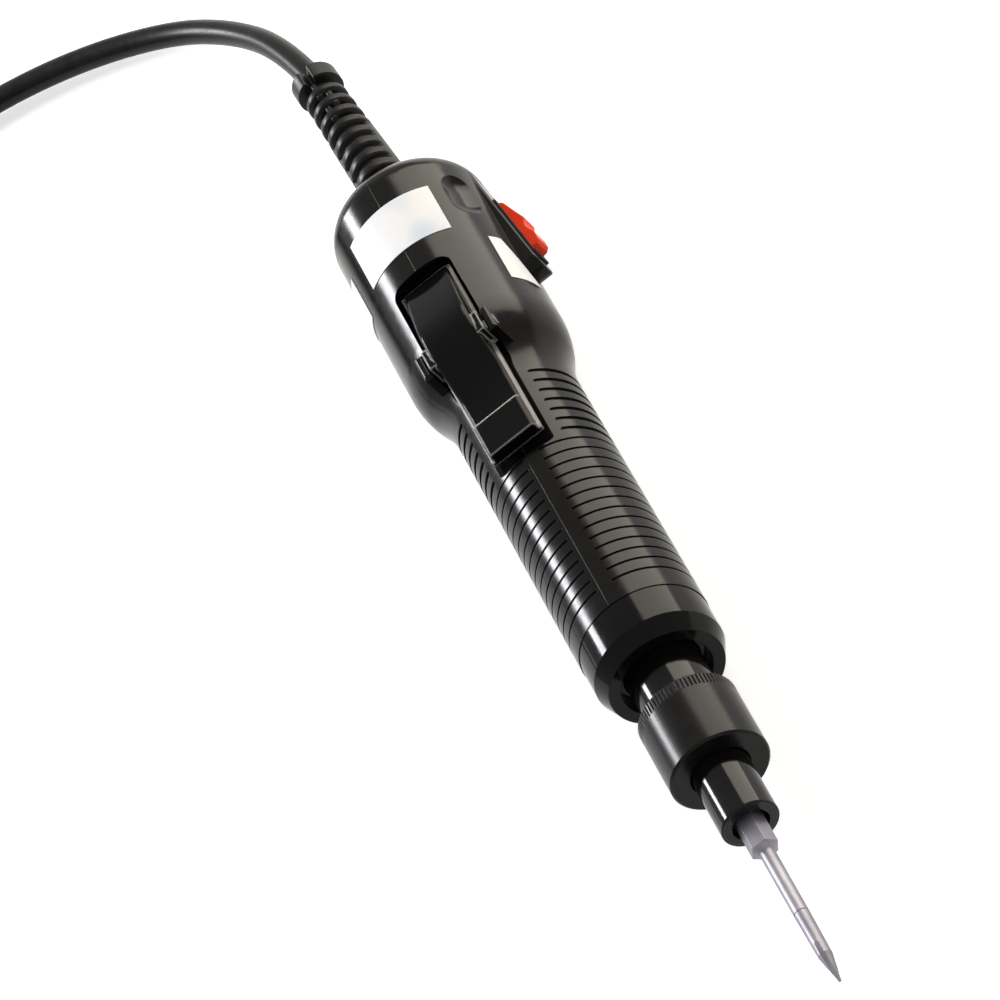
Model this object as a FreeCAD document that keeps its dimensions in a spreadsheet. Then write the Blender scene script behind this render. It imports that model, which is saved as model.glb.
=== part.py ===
import FreeCAD, Part
import math
import os
import re

import Sketcher

# Lever-start electric screwdriver, millimetres.
# +X runs along the tool to the bit, +Z is the lever side, +Y the switch side.
# The origin is on the tool axis at the front end of the nose ring's clamping band.
# Places behind the origin are written as positive distances and used with a minus sign.

V = FreeCAD.Vector
X_AXIS = V(1, 0, 0)
Y_AXIS = V(0, 1, 0)
Z_AXIS = V(0, 0, 1)

HOUSING = {
    "grip_radius": 17.0, "grip_end": 92.0, "head_radius": 21.5, "head_start": 114.0, "head_end": 176.5,
    "head_edge": 9.0, "head_wall": 2.4, "rest_depth": 17.0, "rest_wall": 2.2, "grip_wall": 3.7,
    "bore_end": 110.5, "bore_flare": 3.5, "ring_wall": 2.05, "spigot_end": 1.2, "seam_gap": 0.05,
    "overrun": 2.0, "rib_start": 15.5, "rib_pitch": 3.7, "rib_width": 0.65, "rib_depth": 0.45,
    "side_width": 1.3, "strip_half": 2.5, "strip_shift": 1.3, "side_half": 11.0, "well_side": 1.7,
    "well_wall": 1.6, "well_rise": 3.2, "well_back": 2.5,
}
NOSE = {
    "band_length": 9.4, "cone_length": 4.6, "cone_drop": 2.1, "nose_rim": 3.1, "dish_depth": 3.0,
    "barrel_gap": 0.3, "band_drop": 0.2,
}
BOSS = {
    "boss_start": 12.0, "boss_end": 8.5, "boss_rise": 3.9, "boss_dip": 0.3, "boss_half": 4.4,
    "boss_round": 3.9, "boss_edge": 0.6, "boss_depth": 7.5,
    "scoop_radius": 9.5, "scoop_front": 152.0, "scoop_rear": 158.0, "scoop_lift": 3.3, "scoop_drop": 5.4,
}
SCREWS = {
    "screw_radius": 1.4, "screw_head": 2.6, "screw_cap": 1.8, "screw_length": 18.0, "screw_sink": 9.0,
    "post_radius": 3.2, "post_rise": 4.4, "post_end": 10.0, "post_start": 8.0,
    "pin_screw_radius": 0.9, "pin_screw_head": 1.6, "pin_screw_cap": 1.2, "pin_screw_length": 9.0,
    "pin_screw_sink": 4.4, "pin_screw_inset": 1.8, "pin_screw_front": 30.0, "pin_screw_rear": 74.0,
    "screw_gap": 0.1, "drive_radius": 0.9, "drive_depth": 0.9,
}
LABELS = {
    "label_gap": 0.02, "label_skin": 0.15, "label_front": 141.9, "label_rear": 159.2,
    "left_label_front": 139.5, "left_label_rear": 155.5, "side_label_front": 121.0,
    "side_label_rear": 137.6, "side_cut_low": 5.0, "side_cut_high": 1.4,
}
LEVER = {
    "recess_gap": 1.9, "recess_depth": 2.2, "recess_fore": 3.0, "recess_aft": 2.0, "recess_round": 3.0,
    "lever_front": 67.5, "lever_rear": 131.5, "lever_gap": 2.2, "lever_half": 7.0, "flange_lip": 0.7,
    "flange_thick": 1.3, "pad_height": 4.2, "pad_length": 11.0, "dish_height": 2.5, "crest_height": 8.0,
    "crest_shift": 3.5, "tail_height": 1.7, "lever_round": 1.1, "pivot_place": 104.0, "pivot_rise": 3.4,
    "pivot_radius": 1.5, "pivot_gap": 0.06, "lug_step": 0.1, "lug_thick": 2.4, "lug_half": 4.0,
    "lug_rise": 2.4, "lug_depth": 1.2, "lug_round": 0.9, "cheek_gap": 0.3, "cheek_length": 6.4,
    "cheek_rise": 3.4, "return_place": 92.0, "return_radius": 1.75, "return_wire": 0.45,
    "return_pitch": 1.15, "return_pocket": 2.6, "return_sink": 2.6, "seat_gap": 0.1,
}
START = {
    "start_place": 129.0, "start_half_length": 6.4, "start_half_width": 3.0, "start_height": 7.1,
    "start_gap": 0.1, "plunger_radius": 1.2, "plunger_gap": 0.4, "plunger_foot": 1.9,
    "plunger_foot_height": 0.8, "plunger_well": 2.6, "post_half_length": 5.0, "post_half_width": 2.4,
}
ROCKER = {
    "rocker_place": 143.0, "rocker_half": 9.8, "rocker_width": 2.7, "rocker_sink": 2.2,
    "rocker_pivot": 2.4, "rocker_rise": 3.5, "rocker_lobe": 2.6, "rocker_dip": 2.1, "rocker_gap": 0.45,
    "rocker_cup": 4.6, "case_wall": 1.0, "case_skin": 0.25, "case_depth": 11.0, "bezel_lip": 0.8,
    "bezel_edge": 0.35, "bezel_rise": 0.7, "case_gap": 0.1, "axle_radius": 0.8, "axle_gap": 0.06,
}
BOARD = {
    "board_top": 4.4, "board_thick": 1.6, "board_inset": 4.3, "board_start": 5.5, "board_end": 10.0,
    "cap_radius": 4.0, "cap_height": 9.0, "cap_place": 149.0, "cap_offset": 6.0, "block_front": 153.0,
    "block_length": 8.0, "block_half": 7.0, "block_height": 8.0,
}
MOTOR = {
    "can_front": 57.1, "can_rear": 98.0, "motor_gap": 0.1, "can_wall": 1.0, "can_lid": 1.5,
    "cap_length": 4.0, "magnet_depth": 3.0, "magnet_front": 63.5, "magnet_rear": 90.0, "magnet_gap": 0.05,
    "shaft_radius": 1.5, "shaft_front": 45.2, "shaft_rear": 103.0, "bearing_radius": 4.0,
    "bearing_length": 3.0, "bearing_gap": 0.05, "air_gap": 0.5, "core_front": 66.0, "core_rear": 88.0,
    "slot_width": 1.6, "slot_hub": 3.6, "coil_inset": 1.1, "coil_hub": 3.4, "coil_length": 3.2,
    "coil_edge": 1.1, "commutator_radius": 4.2, "commutator_front": 91.6, "commutator_rear": 97.0,
    "brush_half": 1.5, "brush_place": 94.4, "brush_inset": 1.3,
}
GEARS = {
    "ring_back": 1.325, "plate_front": 54.0, "ring_front": 30.0, "plate_gap": 1.45, "first_rear": 51.4,
    "first_front": 45.2, "carrier_gap": 1.05, "first_disc_rear": 44.8, "first_disc_front": 42.2,
    "second_rear": 41.6, "second_front": 35.4, "second_disc_rear": 34.8, "second_disc_front": 31.2,
    "pin_radius": 1.2, "pin_gap": 0.06, "pin_spare": 0.2, "hub_radius": 6.0, "hub_front": 21.0,
    "pilot_radius": 2.2, "pilot_depth": 4.0, "plate_screw_radius": 1.0, "plate_screw_inset": 4.6,
    "plate_screw_head": 1.7, "plate_screw_cap": 1.0, "plate_screw_length": 4.4,
}
CLUTCH = {
    "cup_wall": 2.2, "cup_front": 12.0, "web_front": 9.0, "rim_wall": 1.8, "rim_front": 1.3,
    "barrel_radius": 9.7, "barrel_wall": 2.8, "barrel_front": 21.5, "bearing_rear": 29.6,
    "bearing_front": 23.6, "ball_radius": 1.4, "ball_orbit": 4.4, "ball_place": 19.7, "ball_gap": 0.1,
    "slider_rear": 18.4, "slider_front": 13.0, "slider_gap": 0.3, "stem_radius": 3.0, "stem_gap": 0.08,
    "coil_wire": 1.3, "coil_clear": 1.6, "coil_pitch": 3.3, "seat_rear": 17.0, "seat_play": 0.08,
    "flange_rear": 26.7, "flange_front": 28.2, "flange_radius": 9.6,
}
NUT = {
    "nut_rear": 16.6, "nut_front": 37.2, "nut_radius": 12.65, "thread_play": 0.06, "thread_front": 22.5,
    "cavity_gap": 0.3, "cavity_play": 0.05, "nut_gap": 0.35, "nut_chamfer": 0.5, "knurl_length": 3.7,
    "knurl_depth": 0.4, "knurl_half": 0.3,
}
CHUCK = {
    "nose_rear": 30.0, "nose_front": 50.4, "nose_radius": 5.5, "collar_rear": 34.0, "collar_front": 35.6,
    "collar_radius": 6.3, "hex_flat": 3.175, "hex_gap": 0.05, "socket_rear": 31.0, "lock_place": 47.3,
    "lock_radius": 1.5, "lock_orbit": 3.95, "lock_gap": 0.06, "clip_rear": 49.0, "clip_front": 49.8,
    "clip_depth": 0.5, "clip_inset": -0.0, "clip_gap": 0.05, "sleeve_rear": 33.5, "sleeve_front": 55.0,
    "sleeve_wall": 0.75, "land_play": 0.08, "land_rear": 41.5, "land_front": 48.9, "chamber_gap": 0.25,
    "sleeve_round": 0.5, "lid_rear": 53.5, "lid_bore": 4.75, "lid_gap": 0.02, "push_wire": 0.6,
    "push_gap": 0.55, "push_pitch": 1.7,
}
BIT = {
    "bit_rear": 31.3, "bit_hex_front": 63.3, "bit_shoulder": 1.2, "blade_radius": 1.9, "blade_front": 84.2,
    "tip_radius": 1.75, "tip_rear": 97.5, "bit_front": 105.7, "point_radius": 0.45, "groove_half": 1.5,
    "groove_radius": 2.35, "flute_half": 0.55, "flute_inner": 0.05, "flute_slope": 0.125,
    "flute_length": 18.0, "ring_cut": 0.12, "ring_run": 0.35,
}
LEAD = {
    "relief_front": 173.2, "relief_neck": 5.4, "neck_gap": 0.35, "relief_base": 6.9, "relief_end": 5.4,
    "relief_rear": 238.0, "ribbed_length": 57.5, "relief_seat": 0.5, "relief_rib": 2.6, "relief_depth": 1.1,
    "cord_radius": 3.5,
    "coil_step": 7.6, "coil_outer": 42.0, "tail_run": 22.0, "tail_slope": 36.0, "tie_width": 10.0,
    "tie_thick": 0.7, "tie_gap": 0.3, "boot_length": 22.0, "boot_end": 4.8, "shell_length": 26.0,
    "shell_radius": 7.4, "band_width": 12.0, "band_radius": 8.5, "band_shift": 12.0, "socket_depth": 3.0,
    "socket_radius": 6.2, "contact_radius": 0.6, "contact_orbit": 3.8, "contact_length": 2.6,
}
GROUPS = (HOUSING, NOSE, BOSS, SCREWS, LABELS, LEVER, START, ROCKER, BOARD, MOTOR, GEARS, CLUTCH, NUT, CHUCK,
          BIT, LEAD)

# Counts, angles and shares carry no length.
FULL_RIBS = 14
SIDE_RIBS = 7
KNURL_TEETH = 80
LABEL_ANGLE = 72
LEFT_LABEL_ANGLE = 24
LEFT_LABEL_TURN = 23
# The lead draws the strain relief to one side.
RELIEF_TILT = 3.45
SIDE_LABEL_ANGLE = 28
SIDE_LABEL_TURN = 17.5
ROCKER_TILT = 6
MAGNET_ANGLE = 140
CORE_SLOTS = 8
BALL_COUNT = 3
PLANETS = 3
SUN_TEETH = 15
RING_TEETH = 45
RELIEF_RIBS = 12
COIL_SPAN = 1.75
COIL_LAYERS = 4
COIL_EXIT = 0.25
CONTACTS = 5
GAP_POINTS = 12
# Small share of a turn, for directions along the coil.
TURN_SHARE = 0.0005
# Share of a run that the bend at its end may take.
BEND_SHARE = 0.45
# Upright part of an edge's direction that counts as upright.
UPRIGHT_SHARE = 0.9
# Round end of a groove, as a share of the groove's half width.
END_SHARE = 0.98
# Across-corner and clear radii of a hexagon, as shares of its flat radius.
CORNER_SHARE = 2 / math.sqrt(3)
CLEAR_SHARE = 1.3
# Tooth half-widths and heights, as shares of the module.
TOOTH_SHARES = {"root": 0.95, "pitch": 0.66, "tip": 0.30, "rise": 0.90, "drop": 1.25, "sink": 1.50}
SPACE_SHARES = {"inner": 1.26, "pitch": 0.90, "outer": 0.58, "rise": 0.90, "drop": 1.25, "sink": 1.17}
# Top of the rocker: places as shares of its half length, and heights as shares of a named size.
ROCKER_SHARES = ((-1.0, "rocker_dip", 1.0), (-0.9, "rocker_lobe", 1.0), (-0.3, "rocker_rise", 0.9),
                 (0.0, "rocker_rise", 1.0), (0.15, "rocker_lobe", 1.0), (0.3, "rocker_dip", 1.0),
                 (0.7, "rocker_lobe", 1.0), (0.9, "rocker_dip", 1.0), (1.0, "rocker_dip", 0.5))
ROCKER_FOOT_SHARE = 0.3
# Places of the finger pad's low points along the lever, as shares of its run to the crest.
DISH_SHARES = (0.12, 0.32, 0.62)
DISH_RISE_SHARES = (0.02, 0.12, 0.55)
TAIL_SHARES = (0.45, 0.80)
TAIL_DROP_SHARES = (0.30, 0.72)

# Sizes that follow from others: signed sums of named sizes.
FOLLOWS = {
    "spigot_radius": ("grip_radius", "-ring_wall"), "bore_radius": ("grip_radius", "-grip_wall"),
    "well_floor": ("recess_floor", "-well_wall"), "well_top": ("recess_floor", "well_rise"),
    "well_half": ("recess_half", "well_side"), "well_end": ("recess_rear", "well_back"),
    "face_radius": ("grip_radius", "-cone_drop"), "dish_radius": ("face_radius", "-nose_rim"),
    "boss_height": ("head_radius", "boss_rise"), "boss_low": ("head_radius", "-boss_dip"),
    "boss_root": ("head_radius", "-boss_depth"), "inner_edge": ("head_edge", "-head_wall"),
    "scoop_out": ("head_radius", "scoop_lift"), "scoop_up": ("head_radius", "-scoop_drop"),
    "boss_front": ("head_start", "boss_start"), "boss_rear": ("head_end", "-boss_end"),
    "post_low": ("rest_depth", "-post_rise"), "post_rear": ("head_end", "-post_end"),
    "post_front": ("head_start", "post_start"), "pin_screw_drop": ("grip_radius", "-pin_screw_inset"),
    "recess_half": ("lever_half", "recess_gap"),
    "recess_floor": ("grip_radius", "-recess_depth"), "recess_front": ("lever_front", "-recess_fore"),
    "recess_rear": ("lever_rear", "recess_aft"), "lever_under": ("recess_floor", "lever_gap"),
    "flange_half": ("lever_half", "flange_lip"), "flange_top": ("lever_under", "flange_thick"),
    "pad_top": ("lever_under", "pad_height"), "dish_top": ("lever_under", "dish_height"),
    "crest_top": ("lever_under", "crest_height"), "tail_top": ("lever_under", "tail_height"),
    "pivot_height": ("lever_under", "pivot_rise"), "lug_inner": ("recess_half", "lug_step"),
    "lug_outer": ("lug_inner", "lug_thick"), "lug_top": ("pivot_height", "lug_rise"),
    "lug_root": ("recess_floor", "-lug_depth"), "cheek_half": ("recess_half", "-cheek_gap"),
    "cheek_top": ("pivot_height", "cheek_rise"), "return_top": ("lever_under", "return_sink"),
    "crest_place": ("pivot_place", "crest_shift"), "start_top": ("well_floor", "-start_gap"),
    "start_bottom": ("start_top", "-start_height"), "plunger_hole": ("plunger_radius", "plunger_gap"),
    "case_half": ("rocker_half", "case_wall"), "case_width": ("rocker_width", "rocker_gap", "case_skin"),
    "bezel_half": ("case_half", "bezel_lip"), "bezel_width": ("case_width", "bezel_edge"),
    "board_half": ("head_radius", "-board_inset"), "board_front": ("bore_end", "board_start"),
    "board_rear": ("head_end", "-board_end"), "can_radius": ("bore_radius", "-motor_gap"),
    "magnet_inner": ("can_radius", "-magnet_depth"), "core_radius": ("magnet_inner", "-air_gap"),
    "slot_floor": ("shaft_radius", "slot_hub"), "coil_radius": ("core_radius", "-coil_inset"),
    "brush_end": ("can_radius", "-brush_inset"),
    "case_radius": ("bore_radius", "-motor_gap"), "carrier_radius": ("ring_radius", "-carrier_gap"),
    "plate_hole": ("sun_radius", "plate_gap"), "plate_screw_place": ("case_radius", "-plate_screw_inset"),
    "cup_radius": ("case_radius", "-cup_wall"), "rim_radius": ("case_radius", "-rim_wall"),
    "barrel_bore": ("barrel_radius", "-barrel_wall"), "slider_radius": ("barrel_bore", "-slider_gap"),
    "coil_mean": ("barrel_bore", "-coil_clear"), "seat_radius": ("barrel_bore", "-seat_play"),
    "nut_thread": ("barrel_radius", "thread_play"), "nut_cavity": ("flange_radius", "cavity_gap"),
    "cavity_front": ("flange_front", "cavity_play"), "nut_bore": ("sleeve_radius", "nut_gap"),
    "sleeve_land": ("nose_radius", "land_play"), "sleeve_chamber": ("collar_radius", "chamber_gap"),
    "sleeve_radius": ("sleeve_chamber", "sleeve_wall"), "clip_radius": ("collar_radius", "-clip_inset"),
    "clip_inner": ("nose_radius", "-clip_depth"), "push_mean": ("sleeve_chamber", "-push_gap"),
    "relief_hole": ("relief_neck", "neck_gap"), "ring_root": ("case_radius", "-ring_back"),
}
# Gear radii that follow from the ring gear's root circle and the tooth counts.
SCALED = {
    "tooth_module": ("ring_root", 1 / (RING_TEETH / 2 + SPACE_SHARES["drop"])),
    "sun_radius": ("tooth_module", SUN_TEETH / 2), "planet_radius": ("tooth_module", SUN_TEETH / 2),
    "ring_radius": ("tooth_module", RING_TEETH / 2), "orbit_radius": ("tooth_module", SUN_TEETH),
}

doc = FreeCAD.newDocument("electric_screwdriver")
sheet = doc.addObject("Spreadsheet::Sheet", "Sizes")
ALIASES = {}
for group in GROUPS:
    for alias, value in group.items():
        ALIASES[alias] = value
        row = len(ALIASES)
        sheet.set("A%d" % row, alias)
        sheet.set("B%d" % row, str(value))
        sheet.setAlias("B%d" % row, alias)
doc.recompute()

WORD = re.compile("[a-z_]+")
pieces = {}


def cell(word):
    """A word of an expression, with a named size as the cells of the sheet that it comes from."""
    if word in SCALED:
        base, share = SCALED[word]
        return "(%.12g * %s)" % (share, cell(base))
    if word in FOLLOWS:
        terms = ["-" + cell(name[1:]) if name.startswith("-") else "+" + cell(name) for name in FOLLOWS[word]]
        return "(" + " ".join(terms) + ")"
    return "Sizes." + word if word in ALIASES else word


def bound(text):
    """Turn a sum of named sizes into an expression on the sheet."""
    return WORD.sub(lambda found: cell(found.group()), text)


def size(alias):
    """A named size as the sheet holds it, or as it follows from the sheet."""
    if alias in SCALED:
        base, share = SCALED[alias]
        return share * size(base)
    if alias in FOLLOWS:
        return sum(-size(name[1:]) if name.startswith("-") else size(name) for name in FOLLOWS[alias])
    return float(sheet.get(alias))


def new_body(label):
    body = doc.addObject("PartDesign::Body", label)
    body.Label = label
    pieces[label] = body
    return body


def plane_of(body, role):
    return next(part for part in body.Origin.OriginFeatures if part.Role == role)


def new_sketch(body, role, offset="0"):
    """An empty sketch on one of the body's own planes, moved along that plane's normal."""
    sketch = body.newObject("Sketcher::SketchObject", "sketch")
    sketch.AttachmentSupport = [(plane_of(body, role), "")]
    sketch.MapMode = "FlatFace"
    sketch.setExpression(".AttachmentOffset.Base.z", bound(offset))
    return sketch


def polygon(body, role, points, offset="0"):
    """A closed outline whose corners are bound to sums of named sizes."""
    sketch = new_sketch(body, role, offset)
    count = len(points)
    ring = [V(math.cos(2 * math.pi * i / count), math.sin(2 * math.pi * i / count), 0) for i in range(count)]
    sketch.addGeometry([Part.LineSegment(ring[i], ring[(i + 1) % count]) for i in range(count)], False)
    rules = [Sketcher.Constraint("Coincident", i, 2, (i + 1) % count, 1) for i in range(count)]
    for i in range(count):
        rules.append(Sketcher.Constraint("DistanceX", -1, 1, i, 1, ring[i].x))
        rules.append(Sketcher.Constraint("DistanceY", -1, 1, i, 1, ring[i].y))
    sketch.addConstraint(rules)
    for i, (across, up) in enumerate(points):
        sketch.setExpression("Constraints[%d]" % (count + 2 * i), bound(across))
        sketch.setExpression("Constraints[%d]" % (count + 2 * i + 1), bound(up))
    return sketch


def circle(body, role, across, up, radius, offset="0"):
    sketch = new_sketch(body, role, offset)
    sketch.addGeometry(Part.Circle(V(0, 0, 0), Z_AXIS, 1), False)
    sketch.addConstraint([Sketcher.Constraint("DistanceX", -1, 1, 0, 3, 1),
                          Sketcher.Constraint("DistanceY", -1, 1, 0, 3, 1),
                          Sketcher.Constraint("Radius", 0, 1)])
    for index, text in enumerate((across, up, radius)):
        sketch.setExpression("Constraints[%d]" % index, bound(text))
    return sketch


def revolve(body, points, role="XZ_Plane", angle=360, kind="Revolution"):
    """Turn an outline about the X axis."""
    feature = body.newObject("PartDesign::" + kind, "turn")
    sketch = polygon(body, role, points)
    feature.Profile = sketch
    feature.ReferenceAxis = (sketch, ["H_Axis"])
    feature.Midplane = True
    feature.Angle = angle
    body.Tip = feature
    return feature


def turned(label, points, role="XZ_Plane", angle=360):
    body = new_body(label)
    revolve(body, points, role, angle)
    return body


def pad(body, sketch, length, both=False):
    feature = body.newObject("PartDesign::Pad", "pad")
    feature.Profile = sketch
    feature.Midplane = both
    feature.setExpression("Length", bound(length))
    body.Tip = feature
    return feature


def pocket(body, sketch, length, both=False):
    """Cut along the sketch's normal."""
    feature = body.newObject("PartDesign::Pocket", "pocket")
    feature.Profile = sketch
    feature.Midplane = both
    feature.Reversed = not both
    feature.setExpression("Length", bound(length))
    body.Tip = feature
    return feature


def polar(body, features, count):
    """Repeat features about the X axis."""
    pattern = body.newObject("PartDesign::PolarPattern", "pattern")
    pattern.Originals = features
    pattern.Axis = (plane_of(body, "X_Axis"), [""])
    pattern.Angle = 360
    pattern.Occurrences = count
    body.Tip = pattern
    return pattern


def round_rims(body, radius, *rims):
    """Round the circular edges at the given (place, radius) pairs."""
    doc.recompute()
    tip = body.Tip
    names = []
    for number, edge in enumerate(tip.Shape.Edges, start=1):
        for place, rim in rims:
            if is_rim(edge, size(place), size(rim)):
                names.append("Edge%d" % number)
    feature = body.newObject("PartDesign::Fillet", "round")
    feature.Base = (tip, names)
    feature.setExpression("Radius", bound(radius))
    body.Tip = feature


def is_rim(edge, place, radius):
    if not isinstance(edge.Curve, Part.Circle):
        return False
    near = size("label_gap")
    return abs(edge.Curve.Center.x - place) < near and abs(edge.Curve.Radius - radius) < near


def solid(label, shape):
    """A piece whose shape is worked out from the sheet's sizes."""
    feature = doc.addObject("Part::Feature", label)
    feature.Label = label
    feature.Shape = shape
    pieces[label] = feature
    return feature


def group_of(label, shapes):
    return solid(label, Part.makeCompound(shapes))


def rod(radius, start, end):
    """A round bar between two points."""
    run = end - start
    return Part.makeCylinder(radius, run.Length, start, run)


def block(x_rear, x_front, y_low, y_high, z_low, z_high):
    return Part.makeBox(x_front - x_rear, y_high - y_low, z_high - z_low, V(x_rear, y_low, z_low))


def about_axis(shape, step, count):
    """The index-th copy of a shape turned about the tool axis."""
    copy = shape.copy()
    copy.rotate(V(0, 0, 0), X_AXIS, 360.0 * step / count)
    return copy


def biarc(start, start_way, end, end_way):
    """Two arcs that leave and arrive along the given directions."""
    run = end - start
    ways = start_way + end_way
    lean = 4 - ways.dot(ways)
    along = run.dot(ways)
    reach = run.dot(run) / (along + math.sqrt(along * along + lean * run.dot(run)))
    first = start + start_way * reach
    last = end - end_way * reach
    middle = (first + last) * 0.5
    return [arc_edge(start, first, middle), arc_edge(middle, last, end)]


def arc_edge(start, corner, end):
    """The arc from start to end that is tangent to the lines to their common corner."""
    centre = (start + end) * 0.5
    half = math.atan2((corner - centre).Length, (end - start).Length * 0.5)
    crown = centre + (corner - centre) * (math.tan(half / 2) / math.tan(half))
    return Part.Arc(start, crown, end).toShape()


def wire_tube(edges, radius):
    """A round tube along joined edges."""
    path = Part.Wire(edges)
    first = edges[0]
    start = first.valueAt(first.FirstParameter)
    way = first.tangentAt(first.FirstParameter)
    section = Part.Wire([Part.makeCircle(radius, start, way)])
    return path.makePipeShell([section], True, False)


def spring_edges(start, mean, pitch, turns, axis, side):
    """Quarter-turn arcs along a helix that begins at start on the given axis."""
    across = axis.cross(side)
    climb = pitch / (2 * math.pi)
    edges = []

    def place(angle):
        spoke = side * math.cos(angle) + across * math.sin(angle)
        return start + spoke * mean + axis * (climb * angle)

    def way(angle):
        forward = across * math.cos(angle) - side * math.sin(angle)
        return (forward * mean + axis * climb).normalize()

    for quarter in range(int(turns * 4)):
        low = quarter * math.pi / 2
        high = low + math.pi / 2
        edges += biarc(place(low), way(low), place(high), way(high))
    return edges


def make_nose_ring():
    inner = "spigot_radius + seam_gap"
    hole = "barrel_radius + barrel_gap"
    dish = "cone_length - dish_depth"
    band = "grip_radius - band_drop"
    turned("nose_ring", [
        ("-band_length", inner), ("-band_length", band), ("0", band),
        ("cone_length", "face_radius"), ("cone_length", "dish_radius"), (dish, "dish_radius"), (dish, hole),
        ("seam_gap - spigot_end", hole), ("seam_gap - spigot_end", inner)])


def make_labels():
    low = "head_radius + label_gap"
    high = "head_radius + label_gap + label_skin"
    turned("front_label", [("-label_rear", low), ("-label_front", low), ("-label_front", high),
                           ("-label_rear", high)], angle=LABEL_ANGLE)
    left = turned("left_label", [("-left_label_rear", "-(%s)" % low), ("-left_label_front", "-(%s)" % low),
                                 ("-left_label_front", "-(%s)" % high), ("-left_label_rear", "-(%s)" % high)],
                  role="XY_Plane", angle=LEFT_LABEL_ANGLE)
    left.Placement = FreeCAD.Placement(V(0, 0, 0), FreeCAD.Rotation(X_AXIS, -LEFT_LABEL_TURN))
    side = turned("side_label", [("-side_label_rear", low), ("-side_label_front", low),
                                 ("-side_label_front", high), ("-side_label_rear", high)],
                  role="XY_Plane", angle=SIDE_LABEL_ANGLE)
    below = polygon(side, "XZ_Plane", [
        ("-side_label_front", "-side_cut_low"), ("-side_label_rear", "side_cut_high"),
        ("-side_label_rear", "-head_radius"), ("-side_label_front", "-head_radius")])
    pocket(side, below, "4 * head_radius", both=True)
    side.Placement = FreeCAD.Placement(V(0, 0, 0), FreeCAD.Rotation(X_AXIS, SIDE_LABEL_TURN))


def rib_place(index):
    """Middle of one of the grip's grooves."""
    return -size("rib_start") - index * size("rib_pitch")


def head_profile():
    """Half outline of the housing's outside, parted at each groove of the grip."""
    rear = -size("head_end")
    edge = size("head_edge")
    head = size("head_radius")
    grip = size("grip_radius")
    bend = math.sqrt(0.5)
    start = V(-size("head_start"), 0, head)
    end = V(-size("grip_end"), 0, grip)
    points = [V(rear, 0, 0), V(rear, 0, head - edge), V(rear + edge, 0, head), start]
    crown = V(rear + edge * (1 - bend), 0, head - edge * (1 - bend))
    shoulder = biarc(start, X_AXIS, end, X_AXIS)
    spigot = size("spigot_radius")
    lands = [V(rib_place(index), 0, grip) for index in reversed(range(FULL_RIBS + SIDE_RIBS))]
    tail = [end] + lands + [V(-size("band_length"), 0, grip), V(-size("band_length"), 0, spigot),
                            V(-size("spigot_end"), 0, spigot), V(-size("spigot_end"), 0, 0), points[0]]
    edges = [Part.makeLine(points[0], points[1]), Part.Arc(points[1], crown, points[2]).toShape(),
             Part.makeLine(points[2], points[3])] + shoulder
    edges += [Part.makeLine(tail[i], tail[i + 1]) for i in range(len(tail) - 1)]
    return Part.Face(Part.Wire(edges))


def make_boss():
    """The inclined platform of the reversing switch, round at its front end."""
    rear = -size("boss_rear")
    front = -size("boss_front")
    half = size("boss_half")
    corners = [V(rear, size("boss_root"), -half), V(front, size("boss_root"), -half),
               V(front, size("boss_height"), -half), V(rear, size("boss_low"), -half)]
    boss = Part.Face(Part.makePolygon(corners + corners[:1])).extrude(V(0, 0, 2 * half))
    near = size("label_gap")
    ends = [edge for edge in boss.Edges if edge.BoundBox.XMin > front - near and edge.BoundBox.ZLength < near]
    boss = boss.makeFillet(size("boss_round"), ends)
    rims = [edge for edge in boss.Edges if edge.BoundBox.YMin > size("boss_low") - near
            and edge.BoundBox.XMax > rear + near]
    return boss.makeFillet(size("boss_edge"), rims)


def make_cavity():
    """The hollow for the motor, the gears and the switches."""
    wall = size("head_wall")
    rear = -size("head_end") + wall
    radius = size("head_radius") - wall
    bore = size("bore_radius")
    step = -size("bore_end")
    edge = size("inner_edge")
    points = [V(rear, 0, 0), V(rear, 0, radius - edge), V(rear + edge, 0, radius),
              V(step - size("bore_flare"), 0, radius), V(step, 0, bore), V(size("overrun"), 0, bore),
              V(size("overrun"), 0, 0), V(rear, 0, 0)]
    hollow = Part.Face(Part.makePolygon(points)).revolve(V(0, 0, 0), X_AXIS, 360)
    floor = block(rear - wall, step, -radius, radius, -size("head_radius"),
                  size("rest_wall") - size("rest_depth"))
    return hollow.cut(floor)


def screw_posts():
    """Places of the head screws, as (x, z)."""
    return [(-size("post_rear"), -size("post_low")), (-size("post_front"), -size("post_low"))]


def grip_screws():
    """Places of the grip screws, as (x, z)."""
    drop = -size("pin_screw_drop")
    return [(-size("pin_screw_front"), drop), (-size("pin_screw_rear"), drop)]


def lever_recess():
    """The slot that the start lever lies in."""
    half = size("recess_half")
    slot = block(-size("recess_rear"), -size("recess_front"), -half, half, size("recess_floor"),
                 2 * size("head_radius"))
    corners = [edge for edge in slot.Edges if abs(edge.tangentAt(edge.FirstParameter).z) > UPRIGHT_SHARE]
    return slot.makeFillet(size("recess_round"), corners)


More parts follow.
